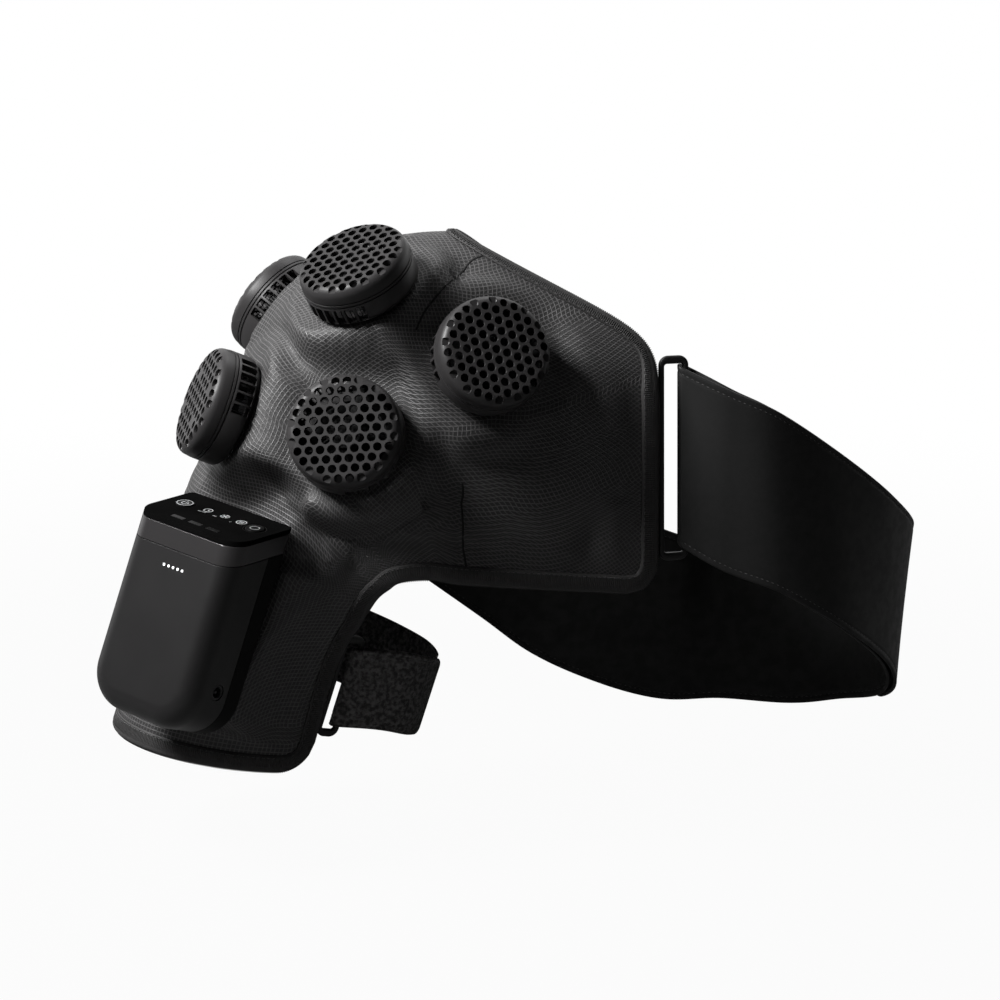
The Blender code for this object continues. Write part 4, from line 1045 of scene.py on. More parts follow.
@dataclass
class WrapForm:
    """The curved surface of the wrap, from the arm's hem to the neck, with its flat seats."""

    reach: float = 280 * MM
    rise: float = 274 * MM
    swell: float = 73 * MM
    neck_fall: float = 52 * MM
    neck_bend: int = 8
    neck: tuple = (0.213, 0.301)
    front_end: tuple = (0.578, 0.60)
    back_end: tuple = (0.430, 0.85)
    end_foot: float = 0.358
    end_drop: float = 0.50
    end_curl: float = 0.04
    hem_corner: tuple = (0.032, 0.15)
    top_corner: tuple = (0.018, 0.10)
    corner_hold: int = 8
    flat_radius: float = 38 * MM
    flat_fade: float = 12 * MM
    hub: float = 8 * MM
    seat_grip: int = 10
    seat_lift: float = 1.4 * MM
    unit_flat_half: float = 26 * MM
    unit_flat_fade: float = 30 * MM
    unit_flat_heights: tuple = (79.2 * MM, 39 * MM)
    unit_flat_depths: tuple = (48 * MM, 24 * MM)
    unit_back: float = 3.7 * MM
    unit_back_halves: tuple = (35 * MM, 63.7 * MM)
    sections: tuple = (
        (-0.429, -0.638, -0.063, -0.698, 0.58, 0.80, 0.22),
        (-0.357, -0.415, -0.007, -0.499, 0.56, 0.80, 0.19),
        (-0.285, -0.188, 0.040, -0.408, 0.60, 0.85, 0.14),
        (-0.218, -0.048, 0.066, -0.359, 0.66, 0.93, 0.11),
        (-0.159, 0.069, 0.088, -0.334, 0.72, 0.97, 0.07),
        (-0.080, 0.192, 0.113, -0.315, 0.78, 1.00, 0.04),
        (0.019, 0.274, 0.171, -0.309, 0.78, 0.99, 0.03),
        (0.133, 0.296, 0.251, -0.320, 0.74, 0.945, 0.02),
    )
    seat_places: dict = field(default_factory=lambda: {
        "top": (0.7735, 0.1965, (-0.32, -0.46, 0.82)),
        "front": (0.647, 0.387, (-0.11, -0.92, 0.365)),
        "chest": (0.913, 0.340, (0.27, -0.88, 0.39)),
        "side": (0.4235, 0.160, (-0.88, -0.27, 0.39)),
        "rear": (0.5905, -0.1675, (-0.73, 0.42, 0.54)),
    })
    unit_place: tuple = (0.140, 0.385, (-0.555, -0.785, 0.280))
    unit_up: tuple = (0.293, 0.1305, 0.948)

    def __post_init__(self) -> None:
        """Work out the frames of the seats."""
        self.seats = {name: self.seat_frame(*seat) for name, seat in self.seat_places.items()}
        self.unit = self.seat_frame(*self.unit_place, self.unit_up)
        self.inverses = [(seat, seat.inverted()) for seat in self.seats.values()]
        self.unit_inverse = self.unit.inverted()

    def section_point(self, section: tuple, side: int, column: float) -> Vector:
        """Point of one section.

        Args:
            section: one row of the sections' table.
            side: 1 on the front, -1 on the back.
            column: share from the ridge to the free edge.

        Returns:
            The point.
        """
        outer_x, outer_z, edge_x, edge_z, drop_share, swell_share, curl_share = section
        outer = Vector((outer_x * self.reach, 0, outer_z * self.rise))
        edge = Vector((edge_x * self.reach, 0, edge_z * self.rise))
        length = (edge - outer).length
        angle, leg = min(column * 2, 1) * math.pi / 2, max(column * 2 - 1, 0)
        drop = drop_share * length
        fall = drop * (1 - math.cos(angle)) + leg * (length - drop)
        swell = self.swell * (swell_share * math.sin(angle) - curl_share * leg ** 2)
        return outer + (edge - outer) / length * fall + Vector((0, -side * swell, 0))

    def end_point(self, side: int, column: float) -> Vector:
        """Point on the neck slope and the panels' upright edges, where the rows end.

        Args:
            side: 1 on the front, -1 on the back.
            column: share from the ridge to the free edge.

        Returns:
            The point.
        """
        edge_share, swell_share = self.front_end if side > 0 else self.back_end
        neck_x, neck_z = self.neck
        height = (neck_z + self.end_foot) * self.rise
        angle, leg = min(column * 2, 1) * math.pi / 2, max(column * 2 - 1, 0)
        drop = self.end_drop * height
        fall = drop * (1 - math.cos(angle)) + leg * (height - drop)
        swell = self.swell * (swell_share * math.sin(angle) - self.end_curl * leg ** 2)
        ratio = fall / self.neck_fall
        run = ratio / (1 + ratio ** self.neck_bend) ** (1 / self.neck_bend)
        x_share = neck_x + (edge_share - neck_x) * run
        return Vector((x_share * self.reach, -side * swell, neck_z * self.rise - fall))

    def plain(self, row: float, column: float) -> Vector:
        """Point of the surface before its seats are pressed flat.

        Args:
            row: share from the hem to the neck.
            column: share from the ridge to the free edge, negative on the back.

        Returns:
            The point.
        """
        side = 1 if column >= 0 else -1
        column = abs(column)
        low = self.inset(*self.hem_corner, column) * (1 - row) ** self.corner_hold
        high = self.inset(*self.top_corner, column) * row ** self.corner_hold
        points = [self.section_point(section, side, column) for section in self.sections]
        points.append(self.end_point(side, column))
        return curve_point(points, row + low - high)

    def inset(self, depth: float, width: float, column: float) -> float:
        """Share of the rows that a rounded corner takes away."""
        run = max(column - (1 - width), 0) / width
        return depth * (1 - math.sqrt(max(1 - run ** 2, 0)))

    def seat_frame(self, row: float, column: float, facing: tuple, up: tuple = (0, 0, 1)) -> Matrix:
        """Frame on the surface with +Z along a facing direction.

        Args:
            row: share from the hem to the neck.
            column: share from the ridge to the free edge.
            facing: the direction of +Z.
            up: what +X stands square to.

        Returns:
            The frame.
        """
        z_axis = Vector(facing).normalized()
        x_axis = Vector(up).cross(z_axis).normalized()
        seat = Matrix((x_axis, z_axis.cross(x_axis), z_axis)).transposed().to_4x4()
        seat.translation = self.plain(row, column) + z_axis * self.seat_lift
        return seat

    def fade(self, distance: float, flat: float, width: float) -> float:
        """Weight of 1 inside a flat zone that falls smoothly to 0 outside it."""
        step = min(max((distance - flat) / width, 0), 1)
        return 1 - step * step * (3 - 2 * step)

    def surface(self, row: float, column: float) -> Vector:
        """Point of the surface with its seats pressed flat.

        Args:
            row: share from the hem to the neck.
            column: share from the ridge to the free edge, negative on the back.

        Returns:
            The point.
        """
        point = self.plain(row, column)
        largest, total, move = 0.0, 0.0, Vector()
        for seat, inverse in self.inverses:
            local = inverse @ point
            weight = self.fade(local.length, self.flat_radius, self.flat_fade)
            if weight:
                pull = weight * (self.flat_radius / max(local.length, self.hub)) ** self.seat_grip
                largest, total = max(largest, weight), total + pull
                move -= seat.col[2].to_3d() * local.z * pull
        local = self.unit_inverse @ point
        raised = local.z > 0
        tall = self.unit_flat_heights[0 if raised and local.y > 0 else 1]
        deep = self.unit_flat_depths[0 if raised else 1]
        weight = self.fade(abs(local.x), self.unit_flat_half, self.unit_flat_fade)
        weight *= self.fade(abs(local.y), tall, self.flat_fade)
        weight *= self.fade(abs(local.z), deep, self.flat_fade)
        largest, total = max(largest, weight), total + weight
        move -= self.unit.col[2].to_3d() * local.z * weight
        point = point + move * largest / total if largest else point
        return self.under_unit(point)

    def under_unit(self, point: Vector) -> Vector:
        """Point lowered under the control unit's back face.

        Args:
            point: a point of the surface.

        Returns:
            The same point, or a lower one.
        """
        local = self.unit_inverse @ point
        half, tall = self.unit_back_halves
        raised = local.z - self.unit_back
        if raised <= 0:
            return point
        weight = self.fade(abs(local.x), half, self.flat_fade) * self.fade(abs(local.y), tall, self.flat_fade)
        return point - self.unit.col[2].to_3d() * raised * weight


@dataclass
class Sheet:
    """A grid of points over the whole wrap, fine enough to show its soft shape."""

    form: WrapForm
    row_count: int = 170
    front_count: int = 74
    back_count: int = 50
    hole: float = 21.8 * MM
    seat_depth: float = 12 * MM
    hole_reach: float = 6 * MM

    def __post_init__(self) -> None:
        """Lay out the grid and its directions."""
        self.rows = [index / self.row_count for index in range(self.row_count + 1)]
        self.columns = [-index / self.back_count for index in range(self.back_count, 0, -1)]
        self.columns += [index / self.front_count for index in range(self.front_count + 1)]
        self.points = [[self.form.surface(row, column) for column in self.columns] for row in self.rows]
        self.normals = self.directions(self.points)

    def directions(self, points: list[list[Vector]]) -> list[list[Vector]]:
        """Outward direction at every grid point, from its neighbours.

        Args:
            points: the grid's points.

        Returns:
            The directions in the same grid.
        """
        last_row, last_column = len(points) - 1, len(points[0]) - 1
        result = []
        for i in range(last_row + 1):
            line = []
            for j in range(last_column + 1):
                along = points[min(i + 1, last_row)][j] - points[max(i - 1, 0)][j]
                across = points[i][min(j + 1, last_column)] - points[i][max(j - 1, 0)]
                line.append(across.cross(along).normalized())
            result.append(line)
        return result

    def lengths(self) -> tuple[list[list[float]], list[list[float]]]:
        """Distance of every grid point from the hem and from the ridge, along the cloth.

        Returns:
            Both distances in the same grid.
        """
        down = [[0.0] * len(self.columns)]
        for low, high in zip(self.points, self.points[1:]):
            steps = [(b - a).length for a, b in zip(low, high)]
            down.append([total + step for total, step in zip(down[-1], steps)])
        ridge = self.back_count
        across = []
        for line in self.points:
            ahead = [0.0]
            for a, b in zip(line[ridge:], line[ridge + 1:]):
                ahead.append(ahead[-1] + (b - a).length)
            behind = [0.0]
            for a, b in zip(line[ridge::-1], line[ridge - 1::-1]):
                behind.append(behind[-1] - (b - a).length)
            across.append(list(reversed(behind[1:])) + ahead)
        return down, across

    def seat_distance(self, point: Vector) -> float:
        """Distance from a point to the nearest module seat's axis, or a large number far from one.

        Args:
            point: where it is read.

        Returns:
            The distance.
        """
        nearest = 1.0
        for seat, inverse in self.form.inverses:
            local = inverse @ point
            if abs(local.z) < self.seat_depth:
                nearest = min(nearest, math.hypot(local.x, local.y))
        return nearest

    def mesh(
        self, name: str, points: list[list[Vector]], holes: bool = True,
        normals: list[list[Vector]] | None = None, drop: float = 0.0,
    ) -> bpy.types.Mesh:
        """Open mesh of the grid, with round holes at the seats and its own UV map in metres.

        Args:
            name: the mesh's name.
            points: the grid's points.
            holes: whether the seats are cut out.
            normals: directions for the drop.
            drop: distance below the points.

        Returns:
            The mesh.
        """
        down, across = self.lengths()
        shape = bmesh.new()
        layer = shape.loops.layers.uv.new("cloth")
        grid = []
        for i, line in enumerate(points):
            if normals:
                line = [point - normals[i][j] * drop for j, point in enumerate(line)]
            grid.append([shape.verts.new(point) for point in line])
        for i in range(len(grid) - 1):
            for j in range(len(grid[0]) - 1):
                places = ((i, j), (i, j + 1), (i + 1, j + 1), (i + 1, j))
                face = shape.faces.new([grid[a][b] for a, b in places])
                for loop, (a, b) in zip(face.loops, places):
                    loop[layer].uv = (down[a][b], across[a][b])
        if holes:
            self.cut_seats(shape)
        return mesh_of(name, shape)

    def cut_seats(self, shape: bmesh.types.BMesh) -> None:
        """Take the cloth away inside each seat and draw the cut edge to a true circle.

        Args:
            shape: the sheet's shape.
        """
        inside = [face for face in shape.faces if self.seat_distance(face.calc_center_median()) < self.hole]
        bmesh.ops.delete(shape, geom=inside, context="FACES")
        for vert in shape.verts:
            if not vert.is_boundary:
                continue
            for seat, inverse in self.form.inverses:
                local = inverse @ vert.co
                away = math.hypot(local.x, local.y)
                if abs(local.z) < self.seat_depth and away < self.hole + self.hole_reach:
                    local.x *= self.hole / away
                    local.y *= self.hole / away
                    vert.co = seat @ local


def walled(item: bpy.types.Object, thickness: float) -> bpy.types.Object:
    """Give an open sheet a thickness behind its face and keep the result.

    Args:
        item: the sheet.
        thickness: its thickness.

    Returns:
        The same object.
    """
    wall = item.modifiers.new("wall", "SOLIDIFY")
    wall.thickness = thickness
    wall.offset = -1
    wall.use_even_offset = False
    return baked(item)


@dataclass
class PaddedShell:
    """The quilted laminate shell, its darts, its lining and its ribbed tape."""

    shop: Workshop
    sheet: Sheet
    thickness: float = 3.0 * MM
    stack: float = 7.0 * MM
    lining_thickness: float = 2.4 * MM
    puff: float = 1.6 * MM
    pinch: float = 1.3 * MM
    pinch_width: float = 7.0 * MM
    deepest: float = -2.6 * MM
    rim_held: tuple = (9 * MM, 14 * MM)
    seat_held: tuple = (30 * MM, 9 * MM)
    unit_held: tuple = (38 * MM, 62 * MM)
    unit_fade: float = 10 * MM
    unit_depth: float = 30 * MM
    wrinkle: float = 0.5 * MM
    wrinkle_scales: tuple = (26, 61)
    wrinkle_shares: tuple = (0.7, 0.35)
    puff_frames: int = 20
    tape_width: float = 7.6 * MM
    tape_thickness: float = 0.9 * MM
    slope_start: float = 6 * MM
    slope_length: float = 20 * MM
    slope_narrowing: float = 0.42
    rib_pitch: float = 1.05 * MM
    rib_share: float = 0.62
    rib_height: float = 0.34 * MM
    stitch_pitch: float = 2.7 * MM
    stitch_length: float = 1.9 * MM
    stitch_share: float = 0.80
    thread: float = 0.42 * MM
    dart_pitch: float = 1.6 * MM
    dart_width: float = 1.10 * MM
    dart_height: float = 0.42 * MM
    # Row and column of each point of a dart
    darts: tuple = (
        (
            (0.864, 0.290), (0.878, 0.268), (0.894, 0.245), (0.912, 0.220), (0.939, 0.181), (0.966, 0.157),
            (1.0, 0.150),
        ),
        ((0.882, 0.470), (0.8765, 0.560), (0.8735, 0.680), (0.870, 0.800), (0.868, 0.965)),
        ((0.700, -0.330), (0.790, -0.250), (0.880, -0.200), (0.950, -0.175), (1.0, -0.165)),
    )
    # Row and column of both ends of a fold, then its height and width in millimetres
    folds: tuple = (
        (0.900, 0.375, 0.884, 0.455, 2.2, 9.0),
        (0.925, 0.450, 0.958, 0.740, -2.2, 16.0),
        (0.965, 0.420, 0.992, 0.560, 2.4, 14.0),
        (0.905, 0.520, 0.930, 0.850, 1.8, 15.0),
        (0.700, 0.520, 0.830, 0.620, 1.6, 13.0),
        (0.560, 0.420, 0.480, 0.620, 1.6, 14.0),
        (0.520, 0.600, 0.330, 0.800, -1.6, 14.0),
        (0.300, 0.620, 0.180, 0.760, 1.4, 12.0),
        (0.720, -0.450, 0.560, -0.620, 1.8, 18.0),
        (0.860, -0.420, 0.820, -0.760, -1.8, 18.0),
        (0.420, -0.400, 0.260, -0.600, 1.6, 16.0),
    )

    def build(self) -> None:
        """Build every piece of the shell."""
        self.points = self.shaped_points()
        self.build_cover()
        self.build_lining()
        self.rim = self.rim_stations()
        self.build_tape()
        self.build_stitches()
        self.build_darts()

    def dart_lines(self) -> list[list[Vector]]:
        """The darts as points on the plain surface.

        Returns:
            A line of points for each dart.
        """
        lines = []
        for dart in self.darts:
            controls = [Vector((row, column, 0)) for row, column in dart]
            shares = [curve_point(controls, index / 40) for index in range(41)]
            lines.append([self.sheet.form.surface(min(share.x, 1), share.y) for share in shares])
        return lines

    def shaped_points(self) -> list[list[Vector]]:
        """Grid points after the cloth has been puffed, folded and pinched along its darts.

        Returns:
            The cover's points.
        """
        self.lines = self.dart_lines()
        pinned = self.pin_weights()
        points = self.puffed(pinned)
        folds = self.fold_lines()
        trees = [search_tree(line) for line in self.lines]
        (coarse, fine), (first, second) = self.wrinkle_scales, self.wrinkle_shares
        aside = Vector((7, 3, 1))
        result = []
        self.pressed = []
        for i, line in enumerate(points):
            row = []
            pressed = []
            for j, point in enumerate(line):
                free = pinned[i][j]
                lift = 0.0
                for start, end, height, width in folds:
                    lift += height * ridge(point, start, end, width)
                for tree in trees:
                    distance = tree.find(point)[2]
                    lift -= self.pinch * math.exp(-(distance / self.pinch_width * 2) ** 2)
                broad = noise.noise(point * coarse) * first + noise.noise(point * fine + aside) * second
                lift += broad * self.wrinkle
                lift = max(lift, self.deepest)
                row.append(point + self.sheet.normals[i][j] * lift * free)
                pressed.append(self.sheet.points[i][j] + self.sheet.normals[i][j] * min(lift * free, 0))
            result.append(row)
            self.pressed.append(pressed)
        return result

    def fold_lines(self) -> list[tuple[Vector, Vector, float, float]]:
        """The soft folds as start, end, height and width.

        Returns:
            The folds.
        """
        lines = []
        for row, column, end_row, end_column, height, width in self.folds:
            start = self.sheet.form.surface(row, column)
            lines.append((start, self.sheet.form.surface(end_row, end_column), height * MM, width * MM))
        return lines

    def pin_weights(self) -> list[list[float]]:
        """How freely each grid point may move: 0 at the rim, the seats and the unit.

        Returns:
            The weights in the sheet's grid.
        """
        form = self.sheet.form
        half, tall = self.unit_held
        down, across = self.sheet.lengths()
        result = []
        for i, line in enumerate(self.sheet.points):
            row = []
            for j, point in enumerate(line):
                edge = min(
                    down[i][j], down[-1][j] - down[i][j], across[i][j] - across[i][0],
                    across[i][-1] - across[i][j],
                )
                free = 1 - form.fade(edge, *self.rim_held)
                free *= 1 - form.fade(self.sheet.seat_distance(point), *self.seat_held)
                local = form.unit_inverse @ point
                near = form.fade(abs(local.x), half, self.unit_fade)
                near *= form.fade(abs(local.y), tall, self.unit_fade)
                if abs(local.z) < self.unit_depth:
                    free *= 1 - near
                row.append(free)
            result.append(row)
        return result

    def puffed(self, pinned: list[list[float]]) -> list[list[Vector]]:
        """Grid points after a short cloth simulation has blown the padding up.

        Args:
            pinned: how freely each point may move.

        Returns:
            The new points, never further out than the cap.
        """
        item = link("puff", self.sheet.mesh("puff", self.sheet.points, holes=False))
        group = item.vertex_groups.new(name="held")
        width = len(self.sheet.columns)
        for i, line in enumerate(pinned):
            for j, free in enumerate(line):
                group.add([i * width + j], 1 - free, "REPLACE")
        cloth = item.modifiers.new("cloth", "CLOTH")
        settings = cloth.settings
        settings.quality = 6
        settings.mass = 0.25
        settings.tension_stiffness = 12
        settings.compression_stiffness = 6
        settings.shear_stiffness = 5
        settings.bending_stiffness = 0.6
        settings.shrink_min = -0.012
        settings.use_pressure = True
        settings.uniform_pressure_force = 3.0
        settings.vertex_group_mass = "held"
        settings.effector_weights.gravity = 0
        cloth.collision_settings.use_collision = False
        scene = bpy.context.scene
        cloth.point_cache.frame_start = 1
        cloth.point_cache.frame_end = self.puff_frames
        for step in range(1, self.puff_frames + 1):
            scene.frame_set(step)
        graph = bpy.context.evaluated_depsgraph_get()
        mesh = bpy.data.meshes.new_from_object(item.evaluated_get(graph))
        places = [vert.co.copy() for vert in mesh.vertices]
        scene.frame_set(1)
        bpy.data.objects.remove(item)
        bpy.data.meshes.remove(mesh)
        result = []
        for i, line in enumerate(self.sheet.points):
            row = []
            for j, point in enumerate(line):
                normal = self.sheet.normals[i][j]
                lift = (places[i * width + j] - point).dot(normal)
                row.append(point + normal * min(max(lift, 0.0), self.puff) * pinned[i][j])
            result.append(row)
        return result

    def build_cover(self) -> None:
        """Quilted cover over the whole wrap, cut out at the module seats."""
        mesh = self.sheet.mesh("quilted_cover", self.points)
        cover = walled(link("quilted_cover", mesh), self.thickness)
        self.shop.keep(cover, "quilted_ripstop", replaces=("outer_shell",))
        self.tree = BVHTree.FromObject(cover, bpy.context.evaluated_depsgraph_get())

    def build_lining(self) -> None:
        """Brushed lining inside the wrap."""
        drop = self.stack - self.lining_thickness
        mesh = self.sheet.mesh("brushed_lining", self.pressed, normals=self.sheet.normals, drop=drop)
        lining = walled(link("brushed_lining", mesh), self.lining_thickness)
        self.shop.keep(lining, "brushed_lining", replaces=("inner_liner",))

    def rim_stations(self) -> list[tuple[Vector, Vector, Vector]]:
        """Evenly spaced edge points all round, each with its normal and inward direction.

        Returns:
            The stations.
        """
        rows, columns = len(self.points) - 1, len(self.points[0]) - 1
        places = [(0, j) for j in range(columns)]
        places += [(i, columns) for i in range(rows)]
        places += [(rows, j) for j in range(columns, 0, -1)]
        places += [(i, 0) for i in range(rows, 0, -1)]
        edge = [self.points[i][j] for i, j in places]
        normals = [self.sheet.normals[i][j] for i, j in places]
        tree = search_tree(edge)
        result = []
        for point, run in spaced(edge + edge[:1], self.rib_pitch)[:-1]:
            normal = normals[tree.find(point)[1]]
            inward = normal.cross(run).normalized()
            result.append((point, normal, inward))
        probe = result[0]
        if (self.sheet.form.surface(0.5, 0.2) - probe[0]).dot(probe[2]) < 0:
            result = [(point, normal, -inward) for point, normal, inward in result]
        return smoothed(result, 4)

    def on_cover(self, point: Vector, normal: Vector, lift: float) -> Vector:
        """Point just above the cover, under a probe point."""
        hit = self.tree.ray_cast(point + normal * 6 * MM, -normal, 14 * MM)
        base = hit[0] if hit[0] else point
        return base + normal * lift

    def tape_reach(self, point: Vector) -> float:
        """How far the tape reaches onto the cover at a rim point: less over the shoulder slope."""
        climb = min(max((point.z - self.slope_start) / self.slope_length, 0), 1)
        return self.tape_width * (1 - self.slope_narrowing * climb)

    def tape_section(self, station: tuple[Vector, Vector, Vector]) -> list[Vector]:
        """Closed section of the folded tape at one rim station.

        Args:
            station: point, normal and inward direction.

        Returns:
            The section's points.
        """
        point, normal, inward = station
        skin_lift, wide, stack = self.tape_thickness, self.tape_reach(point), self.stack
        outer = []
        for share, lift in ((1.0, 0.15), (0.97, 0.75), (0.55, 1.0), (0.18, 1.05)):
            outer.append(self.on_cover(point + inward * wide * share, normal, skin_lift * lift))
        for turn in range(0, 181, 30):
            angle = math.radians(turn)
            bulge = stack / 2 + skin_lift
            middle = point - normal * stack / 2
            outer.append(
                middle + normal * bulge * math.cos(angle) - inward * (0.6 * MM + 1.9 * MM * math.sin(angle))
            )
        outer.append(point + inward * wide * 0.5 - normal * (stack + skin_lift))
        outer.append(point + inward * wide * 0.97 - normal * (stack + skin_lift * 0.8))
        inner = [
            point + inward * wide * 0.97 - normal * (stack + 0.1 * MM),
            point + inward * 0.2 * MM - normal * (stack + 0.1 * MM),
            point - inward * 0.3 * MM - normal * stack / 2,
            point + inward * 0.2 * MM + normal * 0.1 * MM,
        ]
        return outer + inner

    def build_tape(self) -> None:
        """Folded tape with a rib across it at every station."""
        shape = skin([self.tape_section(station) for station in self.rim], closed=True)
        self.shop.keep(solid("edge_tape", shape), "ribbed_tape", replaces=("edge_binding",))
        narrow, wide, edge_stations = [], [], []
        for point, normal, inward in self.rim:
            reach = self.tape_reach(point)
            low = self.on_cover(point + inward * reach * 0.10, normal, self.tape_thickness)
            high = self.on_cover(point + inward * reach * 0.88, normal, self.tape_thickness)
            run = (high - low).normalized()
            face = (normal - run * normal.dot(run)).normalized()
            group = wide if reach > 0.99 * self.tape_width else narrow
            group.append(Station((low + high) / 2, face, run))
            side = point - normal * self.stack / 2 - inward * 2.5 * MM
            edge_stations.append(Station(side, -inward, normal))
        for name, stations, share in (("tape_ribs", wide, 0.80), ("slope_tape_ribs", narrow, 0.46)):
            rib = self.rib(self.tape_width * share)
            self.shop.repeated(name, stations, rib, "ribbed_tape")
        self.shop.repeated("tape_edge_ribs", edge_stations, self.rib(self.stack * 0.70), "ribbed_tape")

    def rib(self, length: float) -> bmesh.types.BMesh:
        """One rounded rib along X, half sunk in the tape.

        Args:
            length: its length.

        Returns:
            The closed shape.
        """
        width, height = self.rib_pitch * self.rib_share, self.rib_height
        rings = []
        for share, scale in ((-0.5, 0.35), (-0.42, 0.9), (0.42, 0.9), (0.5, 0.35)):
            section = oval(width * scale, height * 2 * scale, 6)
            rings.append([Vector((length * share, across, up)) for across, up in section])
        return skin(rings)

    def build_stitches(self) -> None:
        """Lockstitches along the tape's inner edge."""
        path = []
        for point, normal, inward in self.rim:
            seam = point + inward * self.tape_reach(point) * self.stitch_share
            path.append(self.on_cover(seam, normal, self.tape_thickness * 1.15))
        tree = search_tree(path)
        stations = []
        for point, run in spaced(path + path[:1], self.stitch_pitch)[:-1]:
            normal = self.rim[tree.find(point)[1]][1]
            stations.append(Station(point, normal, run))
        self.shop.repeated("tape_stitches", stations, stitch(self.stitch_length, self.thread), "seam_thread")

    def build_darts(self) -> None:
        """Thin sewn darts, each a near-black strip laid along its pinched crease as painted shade."""
        for index, line in enumerate(self.lines):
            points = []
            faces = []
            for point, run in spaced(line, self.dart_pitch):
                nearest = self.tree.find_nearest(point)
                points.append(nearest[0] + nearest[1] * 0.04 * MM)
                faces.append(nearest[1])
            shape = swept(points, faces, oval(self.dart_width, self.dart_height, 6))
            self.shop.keep(solid(f"dart_{index + 1}", shape), "strap_edge")


def search_tree(points: Sequence[Vector]) -> KDTree:
    """Search tree over points, whose find gives place, index and distance.

    Args:
        points: what is searched.

    Returns:
        The tree.
    """
    tree = KDTree(len(points))
    for index, point in enumerate(points):
        tree.insert(point, index)
    tree.balance()
    return tree


def ridge(point: Vector, start: Vector, end: Vector, width: float) -> float:
    """Height share of a soft ridge at a point.

    Args:
        point: where it is read.
        start: one end of the ridge.
        end: its other end.
        width: how wide it is.

    Returns:
        1 on the ridge, falling to 0 away from it.
    """
    span = end - start
    share = min(max((point - start).dot(span) / span.length_squared, 0), 1)
    distance = (point - (start + span * share)).length
    return math.exp(-(distance / width) ** 2) if distance < width * 3 else 0.0


def smoothed(
    stations: list[tuple[Vector, Vector, Vector]], reach: int,
) -> list[tuple[Vector, Vector, Vector]]:
    """Rim stations with their directions averaged over their neighbours.

    Args:
        stations: the rim's stations.
        reach: how many neighbours count on each side.

    Returns:
        The stations in the same order.
    """
    result = []
    count = len(stations)
    for index, (point, normal, inward) in enumerate(stations):
        face, into = Vector(), Vector()
        for step in range(-reach, reach + 1):
            near = stations[(index + step) % count]
            face += near[1]
            into += near[2]
        face.normalize()
        into = (into - face * into.dot(face)).normalized()
        result.append((point, face, into))
    return result


def stitch(length: float, thickness: float) -> bmesh.types.BMesh:
    """One rounded stitch along X.

    Args:
        length: its length.
        thickness: the thread's thickness.

    Returns:
        The closed shape.
    """
    rings = []
    for share, scale in ((-0.5, 0.25), (-0.38, 0.85), (0.0, 1.0), (0.38, 0.85), (0.5, 0.25)):
        lift = -thickness * 0.5 * (abs(share) * 2) ** 2
        section = oval(thickness * scale, thickness * 0.8 * scale, 6, lift)
        rings.append([Vector((length * share, across, up)) for across, up in section])
    return skin(rings)


# Cooling modules


# Turns of each module's vents and of its cap's field of holes, in degrees
MODULE_TURNS = {
    "top": (273.0, 29.0),
    "front": (305.0, 4.7),
    "chest": (168.0, 37.8),
    "side": (37.0, 51.3),
    "rear": (34.0, 20.0),
}


